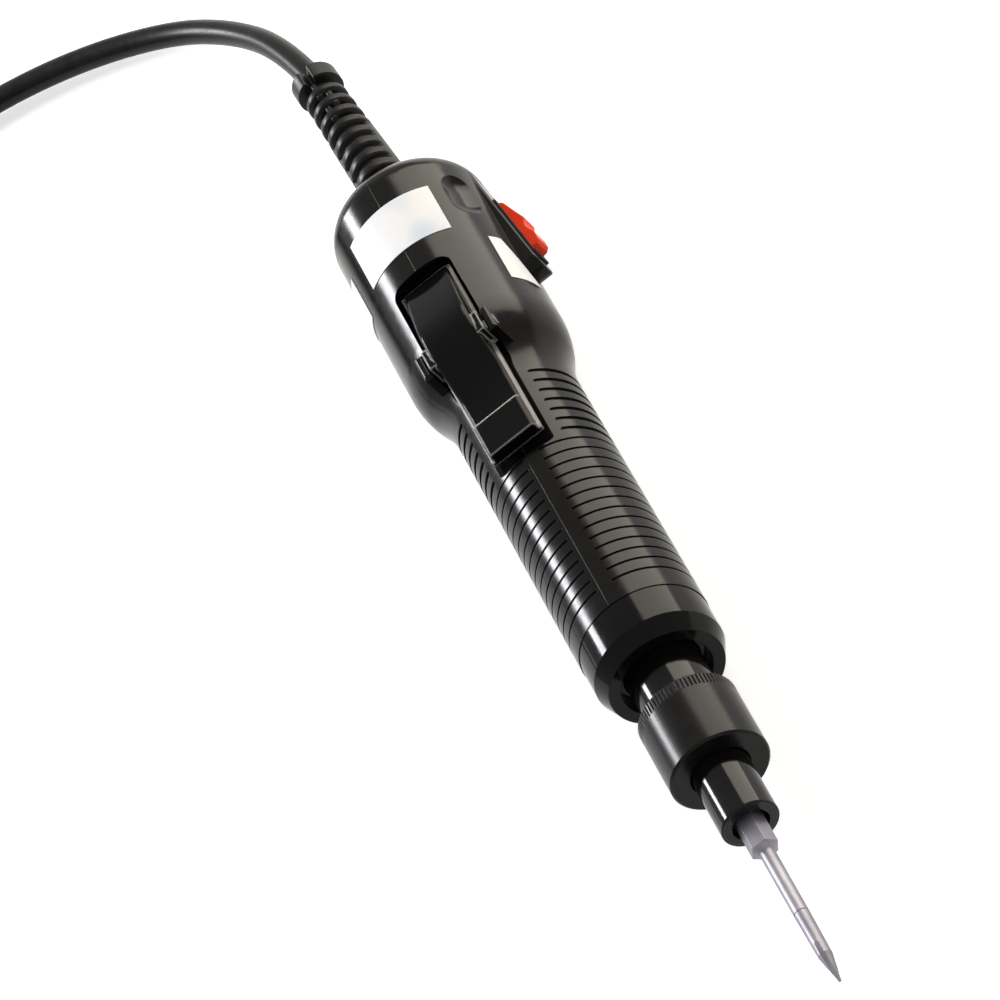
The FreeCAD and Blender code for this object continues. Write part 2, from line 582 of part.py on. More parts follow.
def rib_cutter(first, count, width, strip, shift=0):
    """Grooves round the grip, with round ends at a smooth strip under the lever."""
    outer = size("grip_radius") + size("overrun")
    inner = size("grip_radius") - size("rib_depth")
    rings = []
    for index in range(count):
        middle = rib_place(first + index)
        place = V(middle - width / 2, 0, 0)
        core = Part.makeCylinder(inner, width, place, X_AXIS)
        ring = Part.makeCylinder(outer, width, place, X_AXIS).cut(core)
        keep = block(place.x - width, place.x + 2 * width, shift - strip, shift + strip, 0, 2 * outer)
        groove = ring.cut(keep)
        for end in (V(middle, shift - strip, 0), V(middle, shift + strip, 0)):
            cap = rod(END_SHARE * width / 2, end, end + Z_AXIS * outer)
            groove = groove.fuse(cap.common(ring))
        rings.append(groove)
    return Part.makeCompound(rings)


def make_shell():
    """Both housing halves before they are parted."""
    outside = head_profile().revolve(V(0, 0, 0), X_AXIS, 360)
    span = size("head_end") + size("overrun")
    wide = 2 * size("head_radius")
    back = block(-span, size("overrun"), -wide, wide, -wide, -size("rest_depth"))
    outside = outside.cut(back).fuse(make_boss())
    inner_well = block(-size("well_end"), -size("bore_end"), -size("well_half"), size("well_half"),
                       size("well_floor"), size("well_top"))
    shell = outside.cut(make_cavity()).fuse(inner_well.common(outside))
    reach = size("head_radius")
    for x, z in screw_posts():
        post = rod(size("post_radius"), V(x, -reach, z), V(x, reach, z))
        shell = shell.fuse(post.common(outside))
    shell = shell.cut(lever_recess())
    for side in (-1, 1):
        shell = shell.fuse(make_lug(side))
    shell = shell.cut(pivot_bore(size("pivot_radius")))
    shell = shell.cut(rib_cutter(0, FULL_RIBS, size("rib_width"), size("strip_half"), size("strip_shift")))
    shell = shell.cut(rib_cutter(FULL_RIBS, SIDE_RIBS, size("side_width"), size("side_half")))
    ends = [V(-size(place), size("scoop_out"), size("scoop_up")) for place in ("scoop_rear", "scoop_front")]
    scoop = rod(size("scoop_radius"), *ends)
    for end in ends:
        scoop = scoop.fuse(Part.makeSphere(size("scoop_radius"), end))
    neck = rod(size("relief_hole"), V(-span, 0, 0), V(-size("relief_front") + size("overrun"), 0, 0))
    plunger = rod(size("plunger_hole"), V(-size("start_place"), 0, size("start_top")),
                  V(-size("start_place"), 0, size("recess_floor") + size("overrun")))
    return shell.cut(scoop).cut(neck).cut(plunger)


def make_lug(side):
    """One of the two ears that carry the lever's pin."""
    low, high = sorted((side * size("lug_inner"), side * size("lug_outer")))
    place = -size("pivot_place")
    half = size("lug_half")
    ear = block(place - half, place + half, low, high, size("lug_root"), size("lug_top"))
    top = [edge for edge in ear.Edges if min(v.Z for v in edge.Vertexes) > size("lug_top") - size("seam_gap")]
    return ear.makeFillet(size("lug_round"), top)


def pivot_bore(radius):
    reach = size("lug_outer")
    place = V(-size("pivot_place"), 0, size("pivot_height"))
    return rod(radius, place - Y_AXIS * reach, place + Y_AXIS * reach)


def make_housing():
    shell = make_shell()
    span = size("head_end") + size("overrun")
    wide = 2 * size("head_radius")
    left = shell.common(block(-span, size("overrun"), -wide, 0, -wide, wide))
    right = shell.common(block(-span, size("overrun"), 0, wide, -wide, wide))
    screws = []
    kinds = [(screw_posts(), "screw_"), (grip_screws(), "pin_screw_")]
    for places, kind in kinds:
        for x, z in places:
            head = V(x, -size(kind + "sink"), z)
            left = left.cut(screw_hole(head, kind, size("screw_gap")))
            right = right.cut(screw_hole(head, kind, 0))
            screws.append(make_screw(head, kind))
    right = right.cut(case_window())
    solid("housing_left", left)
    solid("housing_right", right)
    group_of("housing_screws", screws)


def screw_hole(head, kind, gap):
    shank = rod(size(kind + "radius") + gap, head, head + Y_AXIS * (size(kind + "length") + gap))
    mouth = rod(size(kind + "head") + size("screw_gap"), head - Y_AXIS * 2 * size("head_radius"), head)
    return shank.fuse(mouth)


def make_screw(head, kind):
    shank = rod(size(kind + "radius"), head, head + Y_AXIS * size(kind + "length"))
    top = head - Y_AXIS * size(kind + "cap")
    cap = rod(size(kind + "head"), top, head)
    drive = rod(size("drive_radius"), top, top + Y_AXIS * size("drive_depth"))
    return shank.fuse(cap).cut(drive).removeSplitter()


def boss_frame():
    """Placement of the reversing switch: x along the boss, y out of it."""
    run = size("boss_rear") - size("boss_front")
    slope = math.atan2(size("boss_height") - size("boss_low"), run)
    along = size("boss_rear") - size("rocker_place")
    centre = V(-size("rocker_place"), size("boss_low") + math.tan(slope) * along, 0)
    return FreeCAD.Placement(centre, FreeCAD.Rotation(Z_AXIS, math.degrees(slope)))


def case_window():
    gap = size("case_gap")
    half = size("case_half") + gap
    wide = size("case_width") + gap
    hole = block(-half, half, -size("head_radius"), size("head_radius"), -wide, wide)
    hole.translate(V(0, size("case_depth") - size("overrun"), 0))
    hole.Placement = boss_frame().multiply(hole.Placement)
    return hole


def box_points(half, low, high):
    """Corners of an outline that is even about the upright axis."""
    return [("-(%s)" % half, low), (half, low), (half, high), ("-(%s)" % half, high)]


def make_reversing_switch():
    body = new_body("reversing_switch_case")
    case = polygon(body, "XY_Plane", box_points("case_half", "-case_depth", "0"))
    pad(body, case, "2 * case_width", both=True)
    bezel = polygon(body, "XY_Plane", box_points("bezel_half", "0", "bezel_rise"))
    pad(body, bezel, "2 * bezel_width", both=True)
    cup = polygon(body, "XY_Plane", box_points("rocker_half + rocker_gap", "-rocker_cup", "bezel_rise"))
    pocket(body, cup, "2 * (rocker_width + rocker_gap)", both=True)
    pad(body, circle(body, "XY_Plane", "0", "-rocker_pivot", "axle_radius"), "2 * case_width", both=True)
    body.Placement = boss_frame()
    make_rocker()


def make_rocker():
    rocker = new_body("rocker")
    top = [("%g * rocker_half" % along, "%g * %s" % (share, up)) for along, up, share in ROCKER_SHARES]
    foot = "%g * rocker_half" % ROCKER_FOOT_SHARE
    deep = "-rocker_pivot - 2 * axle_radius"
    low = "-rocker_sink / 2"
    bottom = [("rocker_half", low), (foot, deep), ("-" + foot, deep), ("-rocker_half", low)]
    pad(rocker, polygon(rocker, "XY_Plane", top + bottom), "2 * rocker_width", both=True)
    bore = circle(rocker, "XY_Plane", "0", "-rocker_pivot", "axle_radius + axle_gap")
    pocket(rocker, bore, "2 * (rocker_width + overrun)", both=True)
    tilt = FreeCAD.Rotation(Z_AXIS, ROCKER_TILT)
    pivot = V(0, -size("rocker_pivot"), 0)
    rocker.Placement = boss_frame().multiply(FreeCAD.Placement(V(0, 0, 0), tilt, pivot))


def lever_curve():
    """Side outline of the start lever: raised end pad, finger dish, crest over the pin and tail."""
    front = -size("lever_front")
    rear = -size("lever_rear")
    under = size("lever_under")
    crest = V(-size("crest_place"), 0, size("crest_top"))
    lip = V(front - size("pad_length"), 0, size("pad_top"))
    dish = V(lip.x, 0, size("dish_top"))
    curve = [dish]
    for along, up in zip(DISH_SHARES, DISH_RISE_SHARES):
        curve.append(V(dish.x + (crest.x - dish.x) * along, 0, dish.z + (crest.z - dish.z) * up))
    tail = V(rear, 0, size("tail_top"))
    curve.append(crest)
    for along, up in zip(TAIL_SHARES, TAIL_DROP_SHARES):
        curve.append(V(crest.x + (tail.x - crest.x) * along, 0, crest.z + (tail.z - crest.z) * up))
    curve.append(tail)
    top = Part.BSplineCurve()
    top.interpolate(curve)
    corners = [V(rear, 0, under), V(front, 0, under), V(front, 0, size("pad_top")), lip, dish]
    edges = [Part.makeLine(tail, corners[0])]
    edges += [Part.makeLine(corners[i], corners[i + 1]) for i in range(len(corners) - 1)]
    return Part.Face(Part.Wire(Part.sortEdges(edges + [top.toShape()])[0]))


def make_lever():
    half = size("lever_half")
    arm = lever_curve().extrude(V(0, 2 * half, 0))
    arm.translate(V(0, -half, 0))
    top = size("flange_top")
    sides = [edge for edge in arm.Edges if abs(edge.CenterOfMass.y) > half - size("seam_gap")
             and edge.BoundBox.ZMax > top and edge.BoundBox.XLength > size("lever_round")]
    arm = arm.makeFillet(size("lever_round"), sides)
    wide = size("flange_half")
    flange = block(-size("lever_rear"), -size("lever_front"), -wide, wide, size("lever_under"), top)
    cheek = size("cheek_half")
    place = -size("pivot_place")
    ears = block(place - size("cheek_length") / 2, place + size("cheek_length") / 2, -cheek, cheek,
                 size("lever_under"), size("cheek_top"))
    lever = arm.fuse(flange).fuse(ears).cut(pivot_bore(size("pivot_radius") + size("pivot_gap")))
    spot = V(-size("return_place"), 0, 0)
    seat = rod(size("return_pocket"), spot, spot + Z_AXIS * size("return_top"))
    solid("start_lever", lever.cut(seat).removeSplitter())
    solid("lever_pin", pivot_bore(size("pivot_radius")))
    low = spot + Z_AXIS * (size("recess_floor") + size("seat_gap") + size("return_wire") / 2)
    height = size("return_top") - size("seat_gap") - size("return_wire") / 2 - low.z
    turns = math.floor(4 * height / size("return_pitch")) / 4
    edges = spring_edges(low, size("return_radius"), height / turns, turns, Z_AXIS, X_AXIS)
    solid("lever_spring", wire_tube(edges, size("return_wire") / 2))


def make_start_switch():
    place = -size("start_place")
    long_half = size("start_half_length")
    wide = size("start_half_width")
    top = size("start_top")
    case = block(place - long_half, place + long_half, -wide, wide, size("start_bottom"), top)
    axis = V(place, 0, 0)
    foot_low = axis + Z_AXIS * (top - size("plunger_well"))
    gap = size("seat_gap")
    well = rod(size("plunger_foot") + gap, foot_low, axis + Z_AXIS * top)
    half = size("post_half_length")
    thick = size("post_half_width")
    post = block(place - half, place + half, -thick, thick, -size("board_top"), size("start_bottom"))
    solid("start_switch", case.cut(well).fuse(post))
    foot = rod(size("plunger_foot"), foot_low + Z_AXIS * gap,
               foot_low + Z_AXIS * (gap + size("plunger_foot_height")))
    stem = rod(size("plunger_radius"), foot_low + Z_AXIS * gap, axis + Z_AXIS * (size("lever_under") - gap))
    solid("start_plunger", foot.fuse(stem).removeSplitter())


def make_board():
    top = -size("board_top")
    wide = size("board_half")
    solid("circuit_board", block(-size("board_rear"), -size("board_front"), -wide, wide,
                                 top - size("board_thick"), top))
    spots = [V(-size("cap_place"), side * size("cap_offset"), top) for side in (-1, 1)]
    height = Z_AXIS * size("cap_height")
    group_of("capacitors", [rod(size("cap_radius"), spot, spot + height) for spot in spots])
    half = size("block_half")
    rear = -size("block_front") - size("block_length")
    solid("terminal_block", block(rear, -size("block_front"), -half, half, top, top + size("block_height")))


def make_motor():
    inner = "can_radius - can_wall"
    seat = "bearing_radius + bearing_gap"
    turned("motor_can", [
        ("-can_rear", inner), ("-can_rear", "can_radius"), ("-can_front", "can_radius"),
        ("-can_front", seat), ("-can_front - can_lid", seat), ("-can_front - can_lid", inner)])
    turned("motor_end_cap", [
        ("-can_rear - cap_length", seat), ("-can_rear - cap_length", "can_radius"),
        ("-can_rear", "can_radius"), ("-can_rear", seat)])
    rings = []
    bore = size("shaft_radius") + size("bearing_gap")
    for rear in (-size("can_front") - size("can_lid"), -size("can_rear") - size("bearing_length")):
        ends = V(rear, 0, 0), V(rear + size("bearing_length"), 0, 0)
        rings.append(rod(size("bearing_radius"), *ends).cut(rod(bore, *ends)))
    group_of("motor_bearings", rings)
    make_magnets()
    make_armature()


def make_magnets():
    outer = size("can_radius") - size("can_wall") - size("magnet_gap")
    inner = size("magnet_inner")
    rear = -size("magnet_rear")
    front = -size("magnet_front")
    section = Part.Face(Part.makePolygon([V(rear, 0, inner), V(front, 0, inner), V(front, 0, outer),
                                          V(rear, 0, outer), V(rear, 0, inner)]))
    section.rotate(V(0, 0, 0), X_AXIS, -MAGNET_ANGLE / 2)
    arc = section.revolve(V(0, 0, 0), X_AXIS, MAGNET_ANGLE)
    group_of("motor_magnets", [about_axis(arc, index, 2) for index in range(2)])


def make_armature():
    turned("motor_shaft", [("-shaft_rear", "0"), ("-shaft_rear", "shaft_radius"),
                           ("-shaft_front", "shaft_radius"), ("-shaft_front", "0")])
    core = turned("armature_core", [("-core_rear", "shaft_radius"), ("-core_rear", "core_radius"),
                                    ("-core_front", "core_radius"), ("-core_front", "shaft_radius")])
    slot = polygon(core, "YZ_Plane", [
        ("-slot_width / 2", "slot_floor"), ("slot_width / 2", "slot_floor"),
        ("slot_width / 2", "core_radius + overrun"), ("-slot_width / 2", "core_radius + overrun")],
        offset="-core_rear - overrun")
    polar(core, [pocket(core, slot, "core_rear - core_front + 2 * overrun")], CORE_SLOTS)
    turned("commutator", [("-commutator_rear", "shaft_radius"), ("-commutator_rear", "commutator_radius"),
                          ("-commutator_front", "commutator_radius"), ("-commutator_front", "shaft_radius")])
    rings = []
    for start, way in ((-size("core_front"), 1), (-size("core_rear"), -1)):
        length = size("coil_length") * way
        edge = size("coil_edge") * way
        hub = size("coil_hub")
        rim = size("coil_radius")
        cut = size("coil_edge")
        points = [V(start, 0, hub), V(start, 0, rim), V(start + length - edge, 0, rim),
                  V(start + length, 0, rim - cut), V(start + length, 0, hub), V(start, 0, hub)]
        rings.append(Part.Face(Part.makePolygon(points)).revolve(V(0, 0, 0), X_AXIS, 360))
    group_of("motor_windings", rings)
    half = size("brush_half")
    place = -size("brush_place")
    near = size("commutator_radius") + size("bearing_gap")
    far = size("brush_end")
    brush = block(place - half, place + half, near, far, -half, half)
    group_of("motor_brushes", [brush, brush.mirror(V(0, 0, 0), Y_AXIS)])


def tooth_points(radius):
    """Outline of one straight-flanked tooth on a gear of the given pitch radius."""
    share = {key: "%g * tooth_module" % value for key, value in TOOTH_SHARES.items()}
    low = "%s - %s" % (radius, share["sink"])
    high = "%s + %s" % (radius, share["rise"])
    right = [(share["root"], low), (share["pitch"], radius), (share["tip"], high)]
    return right + [("-" + across, up) for across, up in reversed(right)]


def toothed(body, radius, rear, front):
    """Add a toothed wheel between two places on the tool axis."""
    root = "%s - %g * tooth_module" % (radius, TOOTH_SHARES["drop"])
    length = "%s - (%s)" % (front, rear)
    pad(body, circle(body, "YZ_Plane", "0", "0", root, offset=rear), length)
    tooth = pad(body, polygon(body, "YZ_Plane", tooth_points(radius), offset=rear), length)
    polar(body, [tooth], SUN_TEETH)


def make_gears():
    pinion = new_body("sun_pinion")
    toothed(pinion, "sun_radius", "-first_rear", "-first_front")
    pocket(pinion, circle(pinion, "YZ_Plane", "0", "0", "shaft_radius", offset="-first_rear - overrun"),
           "first_rear - first_front + 2 * overrun")
    for stage in ("first", "second"):
        for index in range(PLANETS):
            make_planet("%s_planet_%d" % (stage, index + 1), "-%s_rear" % stage, "-%s_front" % stage, index)
    make_ring_gear()
    first = new_body("first_carrier")
    carrier_disc(first, "-first_disc_rear", "-first_disc_front", "-first_rear - pin_spare")
    toothed(first, "sun_radius", "-first_disc_front", "-second_front")
    second = new_body("second_carrier")
    carrier_disc(second, "-second_disc_rear", "-second_disc_front", "-second_rear - pin_spare")
    pad(second, circle(second, "YZ_Plane", "0", "0", "hub_radius", offset="-second_disc_front"),
        "second_disc_front - hub_front")
    pocket(second, circle(second, "YZ_Plane", "0", "0", "pilot_radius", offset="-hub_front - pilot_depth"),
           "pilot_depth + overrun")
    ball_dents(second)
    make_plate()


def make_planet(label, rear, front, index):
    planet = new_body(label)
    toothed(planet, "planet_radius", rear, front)
    pocket(planet, circle(planet, "YZ_Plane", "0", "0", "pin_radius + pin_gap", offset=rear + " - overrun"),
           "%s - (%s) + 2 * overrun" % (front, rear))
    turn = FreeCAD.Rotation(X_AXIS, 360.0 * index / PLANETS)
    planet.Placement = FreeCAD.Placement(turn.multVec(V(0, 0, size("orbit_radius"))), turn)


def carrier_disc(body, rear, front, pin_end):
    """A planet carrier with its three pins reaching back."""
    pad(body, circle(body, "YZ_Plane", "0", "0", "carrier_radius", offset=rear), "%s - (%s)" % (front, rear))
    pin = pad(body, circle(body, "YZ_Plane", "0", "orbit_radius", "pin_radius", offset=pin_end),
              "%s - (%s)" % (rear, pin_end))
    polar(body, [pin], PLANETS)


def make_ring_gear():
    share = {key: "%g * tooth_module" % value for key, value in SPACE_SHARES.items()}
    inner = "ring_radius - " + share["rise"]
    ring = turned("ring_gear", [("-plate_front", inner), ("-plate_front", "case_radius"),
                                ("-ring_front", "case_radius"), ("-ring_front", inner)])
    low = "ring_radius - " + share["sink"]
    high = "ring_radius + %s" % share["drop"]
    right = [(share["inner"], low), (share["pitch"], "ring_radius"), (share["outer"], high)]
    space = polygon(ring, "YZ_Plane", right + [("-" + across, up) for across, up in reversed(right)],
                    offset="-plate_front - overrun")
    polar(ring, [pocket(ring, space, "plate_front - ring_front + 2 * overrun")], RING_TEETH)


def make_plate():
    plate = turned("motor_plate", [("-can_front", "plate_hole"), ("-can_front", "case_radius"),
                                   ("-plate_front", "case_radius"), ("-plate_front", "plate_hole")])
    hole = pocket(plate, circle(plate, "YZ_Plane", "0", "plate_screw_place", "plate_screw_radius",
                                offset="-can_front - overrun"), "can_front - plate_front + 2 * overrun")
    mouth = pocket(plate, circle(plate, "YZ_Plane", "0", "plate_screw_place", "plate_screw_head + screw_gap",
                                 offset="-plate_front - plate_screw_cap"), "plate_screw_cap + overrun")
    polar(plate, [hole, mouth], 2)
    can = pieces["motor_can"]
    lid_hole = pocket(can, circle(can, "YZ_Plane", "0", "plate_screw_place", "plate_screw_radius",
                                  offset="-can_front - can_lid - overrun"), "can_lid + 2 * overrun")
    polar(can, [lid_hole], 2)
    head = V(-size("plate_front") - size("plate_screw_cap"), 0, size("plate_screw_place"))
    cap = rod(size("plate_screw_head"), head, head + X_AXIS * size("plate_screw_cap"))
    reach = size("plate_screw_length") - size("plate_screw_cap")
    shank = rod(size("plate_screw_radius"), head - X_AXIS * reach, head)
    screw = cap.fuse(shank).removeSplitter()
    group_of("plate_screws", [about_axis(screw, index, 2) for index in range(2)])


def ball_dents(body):
    """Dents that the clutch balls rest in."""
    dent = body.newObject("PartDesign::SubtractiveSphere", "dent")
    dent.setExpression("Radius", bound("ball_radius + ball_gap"))
    dent.setExpression(".AttachmentOffset.Base.x", bound("-ball_place"))
    dent.setExpression(".AttachmentOffset.Base.z", bound("ball_orbit"))
    dent.AttachmentSupport = [(plane_of(body, "XY_Plane"), "")]
    dent.MapMode = "FlatFace"
    body.Tip = dent
    polar(body, [dent], BALL_COUNT)


def make_clutch():
    turned("clutch_case", [
        ("-ring_front", "case_radius"), ("-rim_front", "case_radius"), ("-rim_front", "rim_radius"),
        ("-web_front", "rim_radius"), ("-web_front", "barrel_radius"), ("barrel_front", "barrel_radius"),
        ("barrel_front", "barrel_bore"), ("-cup_front", "barrel_bore"), ("-cup_front", "cup_radius"),
        ("-ring_front", "cup_radius")])
    low = "hub_radius + bearing_gap"
    high = "cup_radius - bearing_gap"
    turned("output_bearing", [("-bearing_rear", low), ("-bearing_rear", high), ("-bearing_front", high),
                              ("-bearing_front", low)])
    ball = Part.makeSphere(size("ball_radius"), V(-size("ball_place"), 0, size("ball_orbit")))
    group_of("clutch_balls", [about_axis(ball, index, BALL_COUNT) for index in range(BALL_COUNT)])
    bore = "stem_radius + stem_gap"
    slider = turned("clutch_slider", [("-slider_rear", bore), ("-slider_rear", "slider_radius"),
                                      ("-slider_front", "slider_radius"), ("-slider_front", bore)])
    ball_dents(slider)
    turned("spring_seat", [
        ("seat_rear", bore), ("seat_rear", "seat_radius"), ("flange_rear", "seat_radius"),
        ("flange_rear", "flange_radius"), ("flange_front", "flange_radius"), ("flange_front", bore)])
    wire = size("coil_wire") / 2
    start = V(-size("slider_front") + wire + size("seat_gap"), 0, 0)
    run = size("seat_rear") - wire - size("seat_gap") - start.x
    turns = math.floor(4 * run / size("coil_pitch")) / 4
    edges = spring_edges(start, size("coil_mean"), run / turns, turns, X_AXIS, Z_AXIS)
    solid("clutch_spring", wire_tube(edges, wire))


def make_nut():
    edge = "nut_radius - nut_chamfer"
    nut = turned("torque_nut", [
        ("nut_rear", "nut_thread"), ("nut_rear", edge), ("nut_rear + nut_chamfer", "nut_radius"),
        ("nut_front - nut_chamfer", "nut_radius"), ("nut_front", edge), ("nut_front", "nut_bore"),
        ("cavity_front", "nut_bore"), ("cavity_front", "nut_cavity"), ("thread_front", "nut_cavity"),
        ("thread_front", "nut_thread")])
    rim = "nut_radius + knurl_depth / 4"
    notch = polygon(nut, "YZ_Plane", [("0", "nut_radius - knurl_depth"), ("knurl_half", rim),
                                      ("-knurl_half", rim)], offset="nut_rear - overrun")
    polar(nut, [pocket(nut, notch, "knurl_length + overrun")], KNURL_TEETH)


def hex_points(flat):
    """A hexagon with two flats square to Z."""
    corner = "(%s) * %.6f" % (flat, CORNER_SHARE)
    return [(corner, "0"), ("(%s) / 2" % corner, flat), ("-(%s) / 2" % corner, flat), ("-" + corner, "0"),
            ("-(%s) / 2" % corner, "-(%s)" % flat), ("(%s) / 2" % corner, "-(%s)" % flat)]


def make_spindle():
    pilot = "pilot_radius - stem_gap"
    clip_low = "clip_rear - clip_gap"
    clip_high = "clip_front + clip_gap"
    spindle = turned("spindle", [
        ("-hub_front - pilot_depth", "0"), ("-hub_front - pilot_depth", pilot), ("-hub_front", pilot),
        ("-hub_front", "stem_radius"), ("nose_rear", "stem_radius"), ("nose_rear", "nose_radius"),
        ("collar_rear", "nose_radius"), ("collar_rear", "collar_radius"), ("collar_front", "collar_radius"),
        ("collar_front", "nose_radius"), (clip_low, "nose_radius"), (clip_low, "clip_inner"),
        (clip_high, "clip_inner"), (clip_high, "nose_radius"), ("nose_front", "nose_radius"),
        ("nose_front", "0")])
    pocket(spindle, polygon(spindle, "YZ_Plane", hex_points("hex_flat + hex_gap"), offset="socket_rear"),
           "nose_front - socket_rear + overrun")
    pocket(spindle, circle(spindle, "XY_Plane", "lock_place", "0", "lock_radius + lock_gap"),
           "2 * (nose_radius + overrun)", both=True)
    lock = Part.makeSphere(size("lock_radius"), V(size("lock_place"), 0, size("lock_orbit")))
    group_of("lock_balls", [about_axis(lock, index, 2) for index in range(2)])
    low = "clip_inner + clip_gap"
    turned("retaining_ring", [("clip_rear", low), ("clip_rear", "clip_radius"), ("clip_front", "clip_radius"),
                              ("clip_front", low)])


def make_sleeve():
    sleeve = turned("bit_sleeve", [
        ("sleeve_rear", "sleeve_chamber"), ("sleeve_rear", "sleeve_radius"),
        ("sleeve_front", "sleeve_radius"), ("sleeve_front", "sleeve_chamber"),
        ("land_front", "sleeve_chamber"), ("land_front", "sleeve_land"), ("land_rear", "sleeve_land"),
        ("land_rear", "sleeve_chamber")])
    round_rims(sleeve, "sleeve_round", ("sleeve_front", "sleeve_radius"), ("sleeve_rear", "sleeve_radius"))
    rim = "sleeve_chamber - lid_gap"
    turned("sleeve_lid", [("lid_rear", "lid_bore"), ("lid_rear", rim), ("sleeve_front", rim),
                          ("sleeve_front", "lid_bore")])
    wire = size("push_wire") / 2
    start = V(size("collar_front") + wire + size("seat_gap"), 0, 0)
    run = size("land_rear") - wire - size("seat_gap") - start.x
    turns = math.floor(4 * run / size("push_pitch")) / 4
    edges = spring_edges(start, size("push_mean"), run / turns, turns, X_AXIS, Z_AXIS)
    solid("sleeve_spring", wire_tube(edges, wire))


def make_bit():
    bit = new_body("bit")
    pad(bit, polygon(bit, "YZ_Plane", hex_points("hex_flat"), offset="bit_rear"), "bit_hex_front - bit_rear")
    revolve(bit, [
        ("bit_hex_front - bit_shoulder", "0"), ("bit_hex_front - bit_shoulder", "hex_flat"),
        ("bit_hex_front", "hex_flat"), ("bit_hex_front + bit_shoulder", "blade_radius"),
        ("blade_front", "blade_radius"), ("blade_front", "blade_radius - ring_cut"),
        ("blade_front + ring_run", "blade_radius - ring_cut"), ("blade_front + ring_run", "blade_radius"),
        ("tip_rear", "tip_radius"), ("bit_front", "point_radius"), ("bit_front", "0")])
    clear = "%g * hex_flat" % CLEAR_SHARE
    near = "lock_place - groove_half"
    far = "lock_place + groove_half"
    groove = [(near, "groove_radius"), (far, "groove_radius"), (far, clear), (near, clear)]
    revolve(bit, groove, kind="Groove")
    rise = "flute_inner + flute_slope * flute_length"
    corner = polygon(bit, "XZ_Plane", [
        ("bit_front + overrun", "flute_inner"), ("bit_front + overrun - flute_length", rise),
        ("bit_front + overrun", rise)])
    polar(bit, [pocket(bit, corner, "2 * flute_half", both=True)], 4)


def make_relief():
    """Ribbed strain relief moulded round the lead, with a neck held in the housing's rear wall."""
    hold = "head_end + relief_seat"
    points = [("-relief_front", "0"), ("-relief_front", "relief_neck"), ("-(%s)" % hold, "relief_neck"),
              ("-(%s)" % hold, "relief_base")]
    slope = "(relief_base - relief_end) / (relief_rear - head_end)"
    for index in range(RELIEF_RIBS):
        near = "(head_end + ribbed_length / %d * %d + relief_rib)" % (RELIEF_RIBS, index)
        far = "(head_end + ribbed_length / %d * %d)" % (RELIEF_RIBS, index + 1)
        for place, drop in ((near, ""), (near, " - relief_depth"), (far, " - relief_depth"), (far, "")):
            points.append(("-" + place, "relief_base - %s * (%s - head_end)%s" % (slope, place, drop)))
    points += [("-relief_rear", "relief_end"), ("-relief_rear", "0")]
    relief = turned("strain_relief", points)
    tilt = FreeCAD.Rotation(Z_AXIS, RELIEF_TILT)
    relief.Placement = FreeCAD.Placement(V(0, 0, 0), tilt, V(-size("head_end"), 0, 0))


# The lead's route from the strain relief to the coil, chosen by hand to follow the photograph.
ROUTE = [(-237.9, -3.7, 0.0), (-257.0, -7.0, -2.0), (-282.0, -18.0, -8.0), (-304.0, -35.0, -12.4),
         (-321.0, -64.0, -12.5), (-331.5, -97.0, -12.5), (-333.5, -129.0, -12.5), (-331.0, -159.0, -12.5)]


def route_edges(points):
    """Straight runs joined by the largest tangent arcs that the runs allow."""
    edges = []
    last = points[0]
    for before, corner, after in zip(points, points[1:], points[2:]):
        back = before - corner
        ahead = after - corner
        reach = BEND_SHARE * min(back.Length, ahead.Length)
        start = corner + back.normalize() * reach
        end = corner + ahead.normalize() * reach
        turn = math.pi - back.getAngle(ahead)
        print("lead radius %.1f mm" % (reach / math.tan(turn / 2)))
        edges += [Part.makeLine(last, start), arc_edge(start, corner, end)]
        last = end
    return edges + [Part.makeLine(last, points[-1])]


def coil_frame():
    """Start, heading, inward direction and centre of the put-away coil."""
    start = V(*ROUTE[-1])
    heading = (start - V(*ROUTE[-2])).normalize()
    inward = V(-heading.y, heading.x, 0)
    entry = start + heading * 2 * size("cord_radius")
    return start, heading, inward, entry + inward * size("coil_outer")


def ease(share):
    """A climb from 0 to 1 that starts and ends level."""
    share = min(max(share, 0), 1)
    return share - math.sin(2 * math.pi * share) / (2 * math.pi)


def coil_place(turn, heading, inward, centre):
    """Place on the coil: flat spirals in and out, with a half turn's climb where the spiral turns back."""
    step = size("coil_step")
    layer = max(0, min(int(turn / COIL_SPAN), COIL_LAYERS - 1))
    past = turn - layer * COIL_SPAN
    radius = size("coil_outer") - step * (COIL_SPAN - past if layer % 2 else past)
    height = step * sum(ease(2 * (turn - edge * COIL_SPAN) + 0.5) for edge in range(1, COIL_LAYERS))
    angle = 2 * math.pi * turn
    spoke = heading * math.sin(angle) - inward * math.cos(angle)
    return centre + spoke * radius + Z_AXIS * height


def coil_way(turn, heading, inward, centre):
    """Direction along the coil."""
    before = coil_place(turn - TURN_SHARE, heading, inward, centre)
    return (coil_place(turn + TURN_SHARE, heading, inward, centre) - before).normalize()


